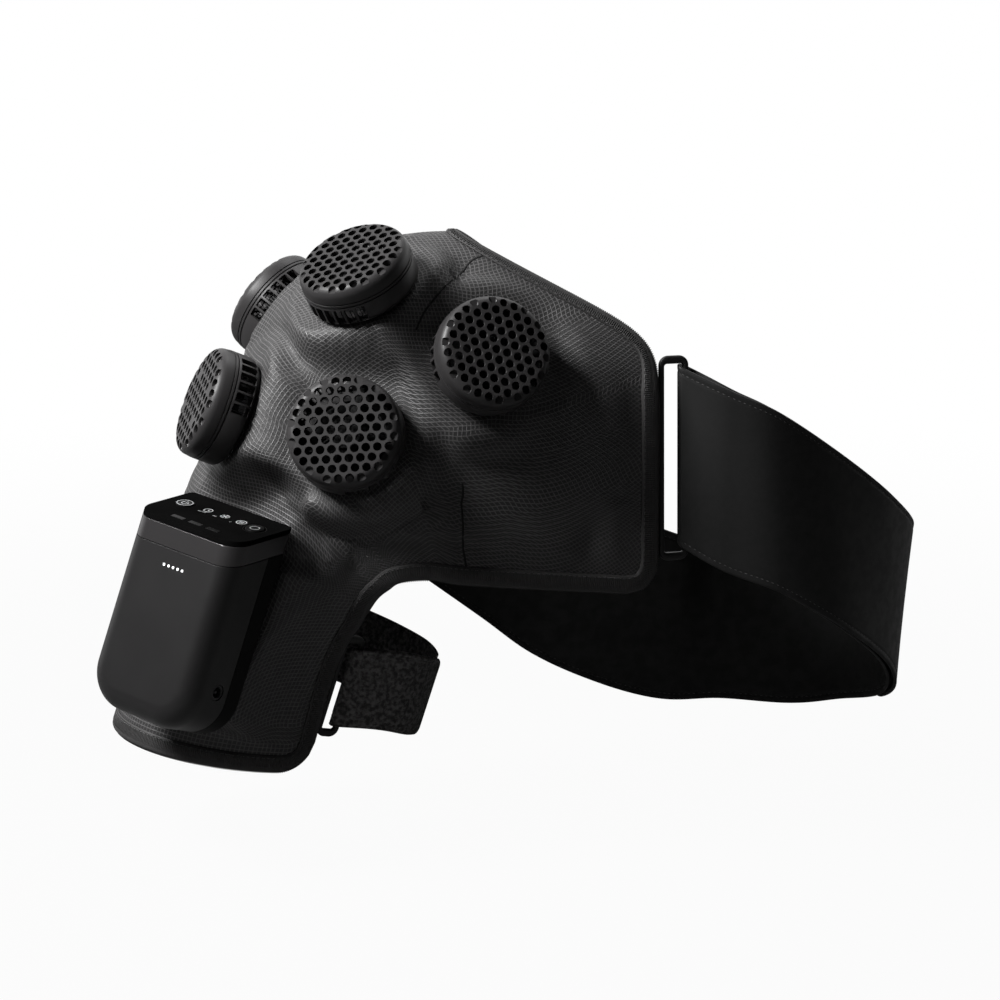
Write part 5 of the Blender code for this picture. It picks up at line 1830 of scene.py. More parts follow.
@dataclass
class CoolingModule:
    """One thermoelectric module: vented base, perforated cap and their small parts."""

    shop: Workshop
    name: str
    seat: Matrix
    vent_turn: float
    field_turn: float
    radius: float = 29.0 * MM
    foot_radius: float = 24.2 * MM
    boss_radius: float = 21.2 * MM
    bore: float = 19.0 * MM
    fit: float = 0.3 * MM
    lift: float = 0.8 * MM
    skin_depth: float = 3.0 * MM
    base_height: float = 12.0 * MM
    wall: float = 2.0 * MM
    foot_rise: float = 4.2 * MM
    cap_height: float = 10.4 * MM
    cap_edge: float = 5.5 * MM
    cap_plate: float = 1.8 * MM
    hole_pitch: float = 5.66 * MM
    hole_radius: float = 2.15 * MM
    field_radius: float = 24.9 * MM
    dimple_reach: float = 27.0 * MM
    dimple_depth: float = 1.9 * MM
    vent_width: float = 4.8 * MM
    vent_height: float = 9.2 * MM
    vent_count: int = 6
    vent_spacing: float = 1.25
    louvre_depth: float = 3.4 * MM
    louvre_thickness: float = 0.3 * MM
    lattice_count: int = 13
    facet_turn: float = 0.3
    hole_steps: int = 20
    hole_reach: float = 9 * MM
    steps: int = 112

    def build(self) -> None:
        """Build the module's base, cap, louvres and gasket."""
        self.place = self.seat @ Matrix.Translation((0, 0, self.lift))
        self.build_base()
        self.build_cap()
        self.build_louvres()
        self.build_gasket()

    def base_section(self) -> list[tuple[float, float]]:
        """Half section of the base, with its foot drawn in and its edges rounded.

        Returns:
            The section's (radius, height) pairs.
        """
        top = self.fit + self.base_height
        inner = self.radius - self.wall
        foot = self.fit + self.foot_rise
        curve = []
        for index in range(9):
            share = index / 8
            swell = math.sin(share * math.pi / 2)
            climb = 1 - math.cos(share * math.pi / 2)
            out = self.foot_radius + (self.radius - self.foot_radius) * swell
            curve.append((out, self.fit + 0.2 * MM + (foot - self.fit) * climb))
        return [
            (self.bore, -self.skin_depth - self.fit), (self.boss_radius, -self.skin_depth - self.fit),
            (self.boss_radius, self.fit),
            (self.foot_radius - 0.6 * MM, self.fit), *curve,
            (self.radius, top - 0.5 * MM), (self.radius - 0.15 * MM, top - 0.12 * MM),
            (self.radius - 0.5 * MM, top), (inner, top),
            (inner, foot + self.wall / 2), (self.foot_radius, self.fit + self.wall),
            (self.bore, self.fit + self.wall),
        ]

    def vent_angles(self) -> list[float]:
        """Angle of every vent in the two opposite groups.

        Returns:
            The angles, in radians.
        """
        pitch = self.vent_width * self.vent_spacing / self.radius
        angles = []
        for group in (0, math.pi):
            for index in range(self.vent_count):
                offset = (index - (self.vent_count - 1) / 2) * pitch
                angles.append(math.radians(self.vent_turn) + group + offset)
        return angles

    def vent_stations(self, radius: float) -> list[Station]:
        """Stations of the vents at a radius, facing outwards.

        Args:
            radius: distance from the module's axis.

        Returns:
            The stations.
        """
        height = self.fit + self.base_height - self.vent_height / 2 - self.wall * 0.6
        stations = []
        for angle in self.vent_angles():
            out = Vector((math.cos(angle), math.sin(angle), 0))
            stations.append(Station(out * radius + Vector((0, 0, height)), out, Vector((0, 0, 1))))
        return stations

    def build_base(self) -> None:
        """Base housing with two groups of upright vents."""
        base = solid(self.name + "_vented_base", turned(self.base_section(), self.steps))
        cutter = block(self.vent_height, self.vent_width, -4 * MM, 4 * MM, 0.6 * MM)
        self.shop.perforated(base, self.vent_stations(self.radius), cutter, "module_shell")
        self.settle(base)
        self.shop.keep(base, "module_shell", replaces=(self.name + "_base_housing",))

    def settle(self, item: bpy.types.Object) -> None:
        """Put a piece made about the module's axis in its place and shade it."""
        item.data.transform(self.place)
        creased(item, MOULDED_CREASE)

    def cap_section(self) -> list[tuple[float, float]]:
        """Half section of the cap: faintly domed plate, rounded shoulder, and a flank with a shadow line.

        Returns:
            The section's (radius, height) pairs.
        """
        low = self.fit * 2 + self.base_height
        high = low + self.cap_height
        corner = self.radius - self.cap_edge
        inner = self.radius - self.wall
        outside = [(0, high + 0.3 * MM), (corner * 0.4, high + 0.26 * MM), (corner * 0.75, high + 0.12 * MM)]
        for index in range(15):
            angle = math.pi / 2 * (1 - index / 14)
            out = corner + (self.cap_edge - 0.4 * MM) * math.cos(angle)
            outside.append((out, high - self.cap_edge + self.cap_edge * math.sin(angle)))
        outside += [(self.radius - 0.05 * MM, low + 2.3 * MM), (self.radius - 0.08 * MM, low + 2.1 * MM)]
        outside += [
            (self.radius - 0.5 * MM, low + 1.95 * MM), (self.radius - 0.5 * MM, low + 1.6 * MM),
            (self.radius - 0.05 * MM, low + 1.45 * MM),
        ]
        outside += [(self.radius, low + 0.4 * MM), (self.radius - 0.3 * MM, low)]
        inside = [
            (inner, low), (inner, high - self.cap_edge - 1.2 * MM), (corner + 0.6 * MM, high - 3.6 * MM),
        ]
        inside += [
            (corner - 1.2 * MM, high - self.cap_plate - 0.3 * MM), (corner * 0.5, high - self.cap_plate),
            (0, high - self.cap_plate),
        ]
        return outside + inside

    def lattice(self, inner: float, outer: float) -> list[Vector]:
        """Places of the cap's holes between two radii, from the lattice tree.

        Args:
            inner: the smaller radius.
            outer: the larger radius.

        Returns:
            The places.
        """
        grid = link("lattice", bpy.data.meshes.new("lattice"))
        values = {"Pitch": self.hole_pitch, "Inner": inner, "Outer": outer, "Count": self.lattice_count}
        grown(grid, self.shop.trees.lattice, values)
        turn = Matrix.Rotation(math.radians(self.field_turn), 3, "Z")
        places = [turn @ vert.co for vert in grid.data.vertices]
        discard(grid)
        return places

    def build_cap(self) -> None:
        """Cap with a hexagonal field of holes and blind holes that run out on its rounded shoulder."""
        cap = solid(self.name + "_perforated_cap", turned(self.cap_section(), self.steps))
        high = self.fit * 2 + self.base_height + self.cap_height
        up, along = Vector((0, 0, 1)), Vector((math.cos(self.facet_turn), math.sin(self.facet_turn), 0))
        edge = self.hole_radius + 0.12 * MM
        through = [Station(place + up * high, up, along) for place in self.lattice(0.0, self.field_radius)]
        radius, foot = self.hole_radius, -self.hole_reach
        profile = (
            (0, foot), (radius, foot), (radius, 0.05 * MM), (edge, 0.2 * MM), (edge, 2 * MM), (0, 2 * MM),
        )
        hole = turned(profile, self.hole_steps)
        self.shop.perforated(cap, through, hole, "module_shell")
        floor = up * (high - self.dimple_depth)
        blind = [
            Station(place + floor, up, along) for place in self.lattice(self.field_radius, self.dimple_reach)
        ]
        profile = ((0, 0), (radius - 0.25 * MM, 0), (radius, 0.25 * MM), (radius, 6 * MM), (0, 6 * MM))
        dimple = turned(profile, self.hole_steps)
        self.shop.perforated(cap, blind, dimple, "module_shell")
        self.settle(cap)
        self.shop.keep(cap, "module_shell", replaces=(self.name + "_grille_cap",))

    def build_louvres(self) -> None:
        """Two fine upright slats in every vent, set back from its face."""
        stations = []
        for station in self.vent_stations(self.radius - self.louvre_depth):
            across = station.run.cross(station.face)
            for side in (-1, 1):
                stations.append(
                    Station(station.point + across * side * self.vent_width / 6, station.face, station.run)
                )
        slat = block(self.vent_height - 0.6 * MM, self.louvre_thickness, -0.4 * MM, 0.1 * MM, 0.1 * MM)
        louvres = self.shop.copies(self.name + "_louvres", stations, slat, "rotor_black")
        self.settle(louvres)
        self.shop.keep(louvres, "rotor_black")

    def build_gasket(self) -> None:
        """Thin soft seal between the foot and the cloth."""
        section = ((-1.6, -0.75), (0.5, -0.75), (0.7, -0.35), (0.4, 0.1), (-1.6, 0.1))
        ring = turned([(self.foot_radius + across * MM, up * MM) for across, up in section], 72)
        gasket = solid(self.name + "_gasket", ring)
        self.settle(gasket)
        self.shop.keep(gasket, "ring_satin")


# Control unit


def carved(item: bpy.types.Object, shape: bmesh.types.BMesh) -> None:
    """Take a shape out of an object and keep the result.

    Args:
        item: the object.
        shape: what is taken out of it.
    """
    tool = solid(item.name + "_tool", shape)
    cut = item.modifiers.new("cut", "BOOLEAN")
    cut.operation = "DIFFERENCE"
    cut.solver = "EXACT"
    cut.object = tool
    baked(item)
    discard(tool)


def finished(item: bpy.types.Object, width: float, steps: int = 3) -> None:
    """Round a hard piece's sharp edges and steady its normals, and keep the result.

    Args:
        item: the object.
        width: width of the rounding.
        steps: its facets.
    """
    creased(item, 180)
    bevel = item.modifiers.new("edges", "BEVEL")
    bevel.width = width
    bevel.segments = steps
    bevel.limit_method = "ANGLE"
    bevel.angle_limit = math.radians(SHARP_EDGE)
    steady = item.modifiers.new("normals", "WEIGHTED_NORMAL")
    steady.weight = 100
    baked(item)


def trimmed(shape: bmesh.types.BMesh, point: Vector, direction: Vector) -> bmesh.types.BMesh:
    """Cut away what lies on the far side of a plane and close the cut.

    Args:
        shape: the shape to cut.
        point: a point of the plane.
        direction: towards the far side.

    Returns:
        The same shape.
    """
    geometry = list(shape.verts) + list(shape.edges) + list(shape.faces)
    result = bmesh.ops.bisect_plane(
        shape, geom=geometry, dist=MERGE, plane_co=point, plane_no=direction, clear_outer=True,
    )
    edges = [item for item in result["geom_cut"] if isinstance(item, bmesh.types.BMEdge)]
    bmesh.ops.contextual_create(shape, geom=edges)
    bmesh.ops.recalc_face_normals(shape, faces=shape.faces)
    return shape


def stroke(
    points: Sequence[tuple[float, float]], width: float, closed: bool = False, height: float = 0.06 * MM,
) -> bmesh.types.BMesh:
    """Thin raised line through flat points.

    Args:
        points: the line's x and y places.
        width: its width.
        closed: whether it is a loop.
        height: how far it stands up.

    Returns:
        The closed shape.
    """
    half = width / 2
    section = ((-half, -height), (half, -height), (half, height), (-half, height))
    path = [Vector((x, y, 0)) for x, y in points]
    return swept(path, [Vector((0, 0, 1))] * len(path), section, closed)


def arc(radius: float, start: float = 0.0, end: float = 360.0, steps: int = 36) -> list[tuple[float, float]]:
    """Points along part of a circle, or round a whole one without its last point.

    Args:
        radius: the circle's radius.
        start: where it starts, in degrees.
        end: where it ends.
        steps: how many steps it takes.

    Returns:
        The points.
    """
    whole = abs(end - start) >= 360
    count = steps if whole else steps + 1
    turns = [math.radians(start + (end - start) * index / steps) for index in range(count)]
    return [(radius * math.cos(turn), radius * math.sin(turn)) for turn in turns]


@dataclass
class ControlUnit:
    """The battery control unit on the upper arm, with its panel, keys, lights and socket."""

    shop: Workshop
    seat: Matrix
    width: float = 70 * MM
    depth: float = 39 * MM
    height: float = 99 * MM
    foot_radius: float = 21 * MM
    edge: float = 11 * MM
    back_edge: float = 3 * MM
    back_steps: int = 6
    wall: float = 2 * MM
    seam: float = 12 * MM
    slope: float = math.radians(20)
    band: float = 10 * MM
    plate: float = 2.2 * MM
    fit: float = 0.3 * MM
    cradle: float = 4 * MM
    spare: float = 4 * MM
    steady: float = 0.25 * MM
    button_radius: float = 4.8 * MM
    button_rise: float = 0.6 * MM
    travel: float = 0.6 * MM
    skirt: float = 1.2 * MM
    print_sink: float = 0.03 * MM
    symbol_sink: float = 0.08 * MM
    print_line: float = 0.42 * MM
    fine_line: float = 0.357 * MM
    icon_row: float = 5.6 * MM
    icon_columns: tuple = (-9.6 * MM, 2.0 * MM, 13.2 * MM)
    mark_row: float = 1.3 * MM
    mark_pitch: float = 1.35 * MM
    mark_runs: tuple = ((-12.6 * MM, 4), (-2.6 * MM, 2), (8.8 * MM, 1))
    key_depth: float = 3.0 * MM
    key_width: float = 8.5 * MM
    light_pitch: float = 3.1 * MM
    light_radius: float = 0.7 * MM
    light_gap: float = 0.1 * MM
    jack_radius: float = 4.0 * MM
    jack_gap: float = 0.21 * MM
    jack_bore: float = 2.7 * MM
    jack_length: float = 6.0 * MM
    steps: int = 20

    def build(self) -> None:
        """Build every piece of the unit."""
        foot = Matrix.Translation((0, -self.height / 2, self.cradle + self.fit * 2))
        self.place = self.seat @ foot @ Matrix.Rotation(-math.pi / 2, 4, "X")
        self.build_shells()
        self.build_bezel()
        self.build_panel()
        self.build_buttons()
        self.build_prints()
        self.build_jack()

    def outline(self, inset: float, height: float) -> list[tuple[float, float]]:
        """Front outline with square top corners and round foot corners.

        Args:
            inset: distance inside the unit's sides.
            height: height of its open top.

        Returns:
            The outline's x and z places.
        """
        half = self.width / 2 - inset
        radius = max(self.foot_radius - inset, inset)
        points = [(half, height), (-half, height)]
        for side in (-1, 1):
            corner = []
            for index in range(self.steps + 1):
                angle = math.pi / 2 * index / self.steps
                across = half - radius + radius * math.cos(angle)
                corner.append((side * across, inset + radius - radius * math.sin(angle)))
            (first_x, first_z), (last_x, last_z) = corner[0], corner[-1]
            corner = [(first_x, first_z + self.steady), *corner, (last_x - side * self.steady, last_z)]
            points += corner if side < 0 else list(reversed(corner))
        return points

    def body(self, wall: float, back: float = 0.0) -> bmesh.types.BMesh:
        """Rounded block of the unit inside a wall.

        Args:
            wall: wall thickness, or 0 for the outside.
            back: how far an inner block runs past the back edge.

        Returns:
            The closed shape, taller than the unit.
        """
        tall = self.height + self.depth
        edge = self.edge - wall
        stations = [(wall + edge + self.steady, -self.depth + wall)]
        for index in range(self.steps + 1):
            angle = math.pi / 2 * index / self.steps
            inset = wall + edge * (1 - math.sin(angle))
            stations.append((inset, -self.depth + wall + edge * (1 - math.cos(angle))))
        stations.append((wall, -self.depth + wall + edge + self.steady))
        stations.append((wall, -self.back_edge + back))
        if not wall:
            for index in range(1, self.back_steps + 1):
                angle = math.pi / 2 * index / self.back_steps
                inset = self.back_edge * (1 - math.cos(angle))
                stations.append((inset, -self.back_edge * (1 - math.sin(angle))))
        return skin([[Vector((x, y, z)) for x, z in self.outline(inset, tall)] for inset, y in stations])

    def plane(self, drop: float) -> tuple[Vector, Vector]:
        """Point and direction of the slanted plane a distance below the panel's face."""
        direction = Vector((0, -math.sin(self.slope), math.cos(self.slope)))
        return Vector((0, -self.depth, self.height)) - direction * drop, direction

    def panel_place(self) -> Matrix:
        """Frame on the slanted panel, its origin midway, +Y towards the back."""
        middle = self.plane(0)[0] + Vector((0, self.depth / 2, self.depth / 2 * math.tan(self.slope)))
        return self.place @ Matrix.Translation(middle) @ Matrix.Rotation(self.slope, 4, "X")

    def settled(self, item: bpy.types.Object, width: float) -> None:
        """Round a housing piece's edges and put it in its place."""
        finished(item, width)
        item.data.transform(self.place)

    def build_shells(self) -> None:
        """Satin front shell and dark rear shell, hollow, meeting at the seam."""
        low = self.band + self.plate
        hollow_plane = self.plane(low - self.spare)
        back = Vector((0, 1, 0))
        shape = trimmed(self.body(0), *self.plane(low + self.fit))
        front = solid("satin_front_housing", trimmed(shape, Vector((0, -self.seam - self.fit, 0)), back))
        carved(front, trimmed(self.body(self.wall, self.spare), *hollow_plane))
        self.cut_lights(front)
        self.cut_jack(front)
        self.settled(front, 0.35 * MM)
        self.shop.keep(front, "unit_satin", replaces=("unit_front_shell",))
        shape = trimmed(self.body(0), *self.plane(low + self.fit))
        rear = solid("dark_rear_housing", trimmed(shape, Vector((0, -self.seam, 0)), -back))
        carved(rear, trimmed(self.body(self.wall), *hollow_plane))
        self.settled(rear, 0.35 * MM)
        self.shop.keep(rear, "unit_back", replaces=("unit_rear_shell",))

    def drill(self, radius: float, steps: int) -> bmesh.types.BMesh:
        """Round cutter that runs well past a wall on both sides."""
        return turned(((0, -self.spare), (radius, -self.spare), (radius, self.spare), (0, self.spare)), steps)

    def cut_lights(self, front: bpy.types.Object) -> None:
        """Row of round holes for the five status lights.

        Args:
            front: the front shell.
        """
        height = self.height - self.band - self.plate - self.light_pitch * 3
        stations = []
        for index in range(-2, 3):
            place = Vector((index * self.light_pitch, -self.depth, height))
            stations.append(Station(place, Vector((0, -1, 0)), Vector((1, 0, 0))))
        self.shop.perforated(
            front, stations, self.drill(self.light_radius + self.light_gap, 24), "unit_satin",
        )

    def jack_place(self) -> Matrix:
        """Frame of the charging socket, its +Z into the side wall."""
        middle = (self.width / 2, -self.seam - self.jack_radius * 2, self.foot_radius + self.jack_radius)
        return Matrix.Translation(middle) @ Matrix.Rotation(-math.pi / 2, 4, "Y")

    def cut_jack(self, front: bpy.types.Object) -> None:
        """Round hole for the charging socket."""
        carved(front, moved(self.drill(self.jack_radius + self.jack_gap, 48), self.jack_place()))

    def build_bezel(self) -> None:
        """Polished band round the top, under the panel."""
        shape = trimmed(self.body(0), *self.plane(self.plate + self.fit))
        point, direction = self.plane(self.band + self.plate)
        bezel = solid("polished_bezel_band", trimmed(shape, point, -direction))
        carved(bezel, self.body(self.wall))
        self.settled(bezel, 0.3 * MM)
        self.shop.keep(bezel, "bezel_polished", replaces=("unit_bezel",))

    def button_spots(self) -> dict[str, tuple[float, float]]:
        """Places of the round buttons on the panel."""
        side = self.width / 2 - self.edge
        middle = self.depth / 2 - self.edge - self.button_radius
        return {"power_button": (-side, middle), "mode_button": (side, middle)}

    def key_spots(self) -> dict[str, tuple[float, float]]:
        """Places of the three flush keys on the panel."""
        row = -self.depth / 2 + self.key_depth * 2
        pitch = self.key_width * 1.4
        return {"timer_key": (-pitch, row), "cold_key": (0, row), "heat_key": (pitch, row)}

    def build_panel(self) -> None:
        """Gloss panel with rounded edges and holes for its buttons and keys."""
        point, direction = self.plane(self.plate)
        shape = trimmed(trimmed(self.body(0), *self.plane(0)), point, -direction)
        panel = solid("gloss_control_panel", shape)
        frame = self.place.inverted() @ self.panel_place()
        cutters = []
        for x, y in self.button_spots().values():
            hole = self.drill(self.button_radius + self.fit, 64)
            cutters.append(moved(hole, frame @ Matrix.Translation((x, y, 0))))
        for x, y in self.key_spots().values():
            wide, deep = self.key_width + self.fit * 2, self.key_depth + self.fit * 2
            hole = block(wide, deep, -self.spare, self.spare, 0.5 * MM)
            cutters.append(moved(hole, frame @ Matrix.Translation((x, y, 0))))
        carved(panel, gathered(cutters))
        self.settled(panel, 0.35 * MM)
        self.shop.keep(panel, "panel_black", replaces=("unit_top_panel",))

    def build_buttons(self) -> None:
        """Round caps with a dished top, and the flush keys, each on its own body."""
        face = self.panel_place()
        low = -self.plate - self.travel
        wide = self.button_radius + self.skirt
        top, radius = self.button_rise, self.button_radius
        cap = (
            (0, low - self.skirt), (wide, low - self.skirt), (wide, low), (radius, low),
            (radius, top - 0.5 * MM),
            (radius - 0.1 * MM, top - 0.2 * MM), (radius - 0.35 * MM, top),
            (radius - 1.2 * MM, top - 0.02 * MM),
            (radius * 0.5, top - 0.12 * MM), (0, top - 0.16 * MM),
        )
        for name, (x, y) in self.button_spots().items():
            place = face @ Matrix.Translation((x, y, 0))
            button = solid(name + "_cap", moved(turned(cap, 64), place))
            creased(button, 50)
            self.shop.keep(button, "button_black", name, replaces=(name,))
        for name, (x, y) in self.key_spots().items():
            place = face @ Matrix.Translation((x, y, 0))
            shape = gathered((
                block(
                    self.key_width + self.skirt * 2, self.key_depth + self.skirt * 2, low - self.skirt, low,
                ),
                block(self.key_width, self.key_depth, low, 0.02 * MM, 0.45 * MM),
            ))
            key = solid(name + "_cap", shape)
            finished(key, 0.18 * MM, 2)
            key.data.transform(place)
            self.shop.keep(key, "button_black", name, replaces=(name,))

    def build_prints(self) -> None:
        """Bright rings and generic icons of the buttons and keys."""
        face = self.panel_place()
        high = self.button_rise - self.print_sink
        low = high - self.symbol_sink
        power_ring = stroke(arc(4.15 * MM, steps=56), 0.5 * MM, True)
        mode_ring = stroke(arc(2.35 * MM, steps=44), 0.55 * MM, True)
        prints = {
            "power_button_ring": ("power_button", high, (power_ring,)),
            "power_button_symbol": ("power_button", low, self.power_symbol()),
            "mode_button_ring": ("mode_button", low, (mode_ring,)),
        }
        spots = self.button_spots()
        for name, (body, height, shapes) in prints.items():
            place = face @ Matrix.Translation((*spots[body], height))
            self.shop.keep(solid(name, moved(gathered(shapes), place), smooth=False), "button_ring", body)
        icons = {
            "timer_icon": self.clock_symbol(),
            "cold_icon": self.snow_symbol(),
            "heat_icon": self.heat_symbol(),
        }
        for (name, shapes), x in zip(icons.items(), self.icon_columns):
            place = face @ Matrix.Translation((x, self.icon_row, 0.0))
            self.shop.keep(solid(name, moved(gathered(shapes), place), smooth=False), "icon_print")
        marks = []
        for x, count in self.mark_runs:
            for index in range(count):
                mark = stroke(((0, 0), (0.7 * MM, 1.0 * MM)), 0.38 * MM)
                place = Matrix.Translation((x + index * self.mark_pitch, self.mark_row, 0))
                marks.append(moved(mark, face @ place))
        self.shop.keep(solid("level_marks", gathered(marks), smooth=False), "icon_print")
        rim = stroke(arc(self.button_radius + 1.15 * MM, steps=64), 0.32 * MM, True, 0.05 * MM)
        place = face @ Matrix.Translation((*spots["mode_button"], 0))
        self.shop.keep(solid("mode_button_rim", moved(rim, place), smooth=False), "button_black")

    def power_symbol(self) -> tuple:
        """Open ring with an upright bar."""
        ring = stroke(arc(1.75 * MM, 125, 415, 30), self.print_line)
        return ring, stroke(((0, 0.6 * MM), (0, 2.5 * MM)), self.print_line)

    def clock_symbol(self) -> tuple:
        """Ring with two hands.

        Returns:
            The symbol's lines.
        """
        return (
            stroke(arc(2.35 * MM), self.print_line, True),
            stroke(((0, -0.1 * MM), (0, 1.5 * MM)), self.print_line),
            stroke(((-0.1 * MM, 0), (1.2 * MM, -0.5 * MM)), self.print_line),
        )

    def snow_symbol(self) -> tuple:
        """Six arms, each with a pair of barbs.

        Returns:
            The symbol's lines.
        """
        fork = (0, 1.55 * MM)
        stem = ((0, 0), (0, 2.5 * MM))
        left, right = ((-0.75 * MM, 2.35 * MM), fork), ((0.75 * MM, 2.35 * MM), fork)
        shapes = []
        for index in range(6):
            turn = Matrix.Rotation(math.tau * index / 6, 4, "Z")
            for points in (stem, left, right):
                shapes.append(moved(stroke(points, self.fine_line), turn))
        return tuple(shapes)

    def heat_symbol(self) -> tuple:
        """Ring round three rising waves.

        Returns:
            The symbol's lines.
        """
        shapes = [stroke(arc(2.6 * MM, steps=40), self.print_line, True)]
        for offset in (-1.0, 0.0, 1.0):
            wave = [
                ((offset + 0.28 * math.sin(index / 10 * math.tau)) * MM, (-1.3 + 0.26 * index) * MM)
                for index in range(11)
            ]
            shapes.append(stroke(wave, self.fine_line))
        return tuple(shapes)

    def build_jack(self) -> None:
        """Smooth charging socket with its pin."""
        low, pin = self.fit, 1.0 * MM
        radius, bore, end = self.jack_radius, self.jack_bore, self.jack_length
        profile = (
            (0, end), (radius, end), (radius, low + 0.3 * MM), (radius - 0.1 * MM, low + 0.08 * MM),
            (radius - 0.35 * MM, low), (bore + 0.3 * MM, low), (bore, low + 0.3 * MM), (bore, end - pin),
            (pin, end - pin), (pin, low + pin * 1.3), (pin * 0.7, low + pin), (0, low + pin),
        )
        jack = solid("charging_socket_barrel", moved(turned(profile, 56), self.place @ self.jack_place()))
        creased(jack, MOULDED_CREASE)
        self.shop.keep(jack, "jack_plated", replaces=("charging_jack",))


# Straps, rings and the hidden harness


@dataclass(frozen=True)
class RingPlan:
    """Sizes of one slotted ring."""

    name: str
    slot_width: float
    slot_height: float
    tab_height: float


TORSO_RING = RingPlan("torso_ring", 10 * MM, 97 * MM, 58.2 * MM)
ARM_RING = RingPlan("arm_ring", 7.5 * MM, 48 * MM, 28.8 * MM)


@dataclass
class RingFrame:
    """Where a ring is sewn on the wrap's edge."""

    form: WrapForm
    bar: float = 2.8 * MM
    thickness: float = 3.0 * MM
    corner: float = 5.0 * MM
    sink: float = 3.5 * MM
    start: float = 2.9 * MM
    tab: float = 12 * MM
    tab_thickness: float = 1.0 * MM
    stack: float = 8.5 * MM
    edge_step: float = 0.03
    torso_columns: tuple = (0.84, 0.44)
    arm_rows: tuple = (0.038, 0.128)
    strap_gap: float = 0.45 * MM

    def frame(self, ends: Sequence[Vector], inner: Sequence[Vector]) -> Matrix:
        """Frame midway between two edge points: +X outwards in the surface, +Y along, +Z off it.

        Args:
            ends: the two edge points.
            inner: two points a little inside the edge.

        Returns:
            The frame.
        """
        low, high = ends
        middle = (low + high) / 2
        y_axis = (high - low).normalized()
        run = middle - (inner[0] + inner[1]) / 2
        x_axis = (run - y_axis * run.dot(y_axis)).normalized()
        frame = Matrix((x_axis, y_axis, x_axis.cross(y_axis))).transposed().to_4x4()
        frame.translation = middle
        return frame

    def torso(self) -> Matrix:
        """Frame of the torso ring on the chest panel's upright edge."""
        ends, inner = (
            [self.form.surface(row, column) for column in self.torso_columns]
            for row in (1, 1 - self.edge_step)
        )
        return self.frame(ends, inner)

    def arm(self) -> Matrix:
        """Frame of the arm ring on the arm panel's front edge."""
        ends, inner = (
            [self.form.surface(row, column) for row in self.arm_rows] for column in (1, 1 - self.edge_step)
        )
        return self.frame(ends, inner)

    def bar_centre(self, frame: Matrix, slot_width: float) -> Vector:
        """Middle of a ring's outer bar."""
        return frame @ Vector((self.start + self.bar * 1.5 + slot_width, 0, -self.sink))

    def bar_reach(self) -> float:
        """Distance from the middle of a ring's bar to the inside of a strap that wraps it."""
        return math.hypot(self.bar, self.thickness) / 2 + self.strap_gap


@dataclass
class Rings:
    """The two slotted rings, rounded all over, with their sewn tabs."""

    shop: Workshop
    plan: RingFrame
    steps: int = 14
    section_steps: int = 20
    squareness: float = 0.62

    def build(self) -> None:
        """Build both rings."""
        self.build_ring(TORSO_RING, self.plan.torso())
        self.build_ring(ARM_RING, self.plan.arm())

    def build_ring(self, sizes: RingPlan, frame: Matrix) -> None:
        """One ring swept with a soft oval section, and its tab.

        Args:
            sizes: the ring's sizes.
            frame: its frame on the wrap's edge.
        """
        bar, deep = self.plan.bar, self.plan.thickness
        middle = self.plan.start + sizes.slot_width / 2 + bar
        inner = rounded(sizes.slot_width, sizes.slot_height, bar / 2, self.steps)
        outer = rounded(sizes.slot_width + bar * 2, sizes.slot_height + bar * 3, self.plan.corner, self.steps)
        rings = []
        for index in range(self.section_steps):
            turn = math.tau * index / self.section_steps
            across = (self.softened(math.cos(turn)) + 1) / 2
            height = self.softened(math.sin(turn)) * deep / 2
            ring = []
            for (ix, iy), (ox, oy) in zip(inner, outer):
                place = (middle + ix + (ox - ix) * across, iy + (oy - iy) * across, height - self.plan.sink)
                ring.append(frame @ Vector(place))
            rings.append(ring)
        loop = solid(sizes.name + "_loop", skin(rings, closed=True))
        self.shop.keep(loop, "ring_satin", replaces=(sizes.name,))
        self.build_tab(sizes, frame)

    def softened(self, value: float) -> float:
        """Squarer version of a circle's coordinate, for a rounded rectangular section."""
        return math.copysign(abs(value) ** self.squareness, value)

    def build_tab(self, sizes: RingPlan, frame: Matrix) -> None:
        """Sewn tab that steps under the wrap's edge.

        Args:
            sizes: the ring's sizes.
            frame: its frame on the wrap's edge.
        """
        high = -self.plan.stack - 1.2 * MM
        low = high - self.plan.tab_thickness
        start = self.plan.start
        section = (
            (start - self.plan.tab + self.plan.bar / 2, low),
            (start - self.plan.tab + self.plan.bar / 2, high), (start - 0.6 * MM, high),
            (start + 0.2 * MM, high + 1.6 * MM), (start + 0.4 * MM, -self.plan.sink),
            (start + self.plan.bar * 0.8, -self.plan.sink),
            (start + self.plan.bar * 0.8, low + 0.8 * MM), (start + self.plan.bar * 0.5, low),
        )
        half = sizes.tab_height / 2
        rings = [[frame @ Vector((x, y, z)) for x, z in section] for y in (-half, half)]
        tab = solid(sizes.name + "_tab", skin(rings))
        finished(tab, 0.3 * MM, 2)
        self.shop.keep(tab, "ring_satin")


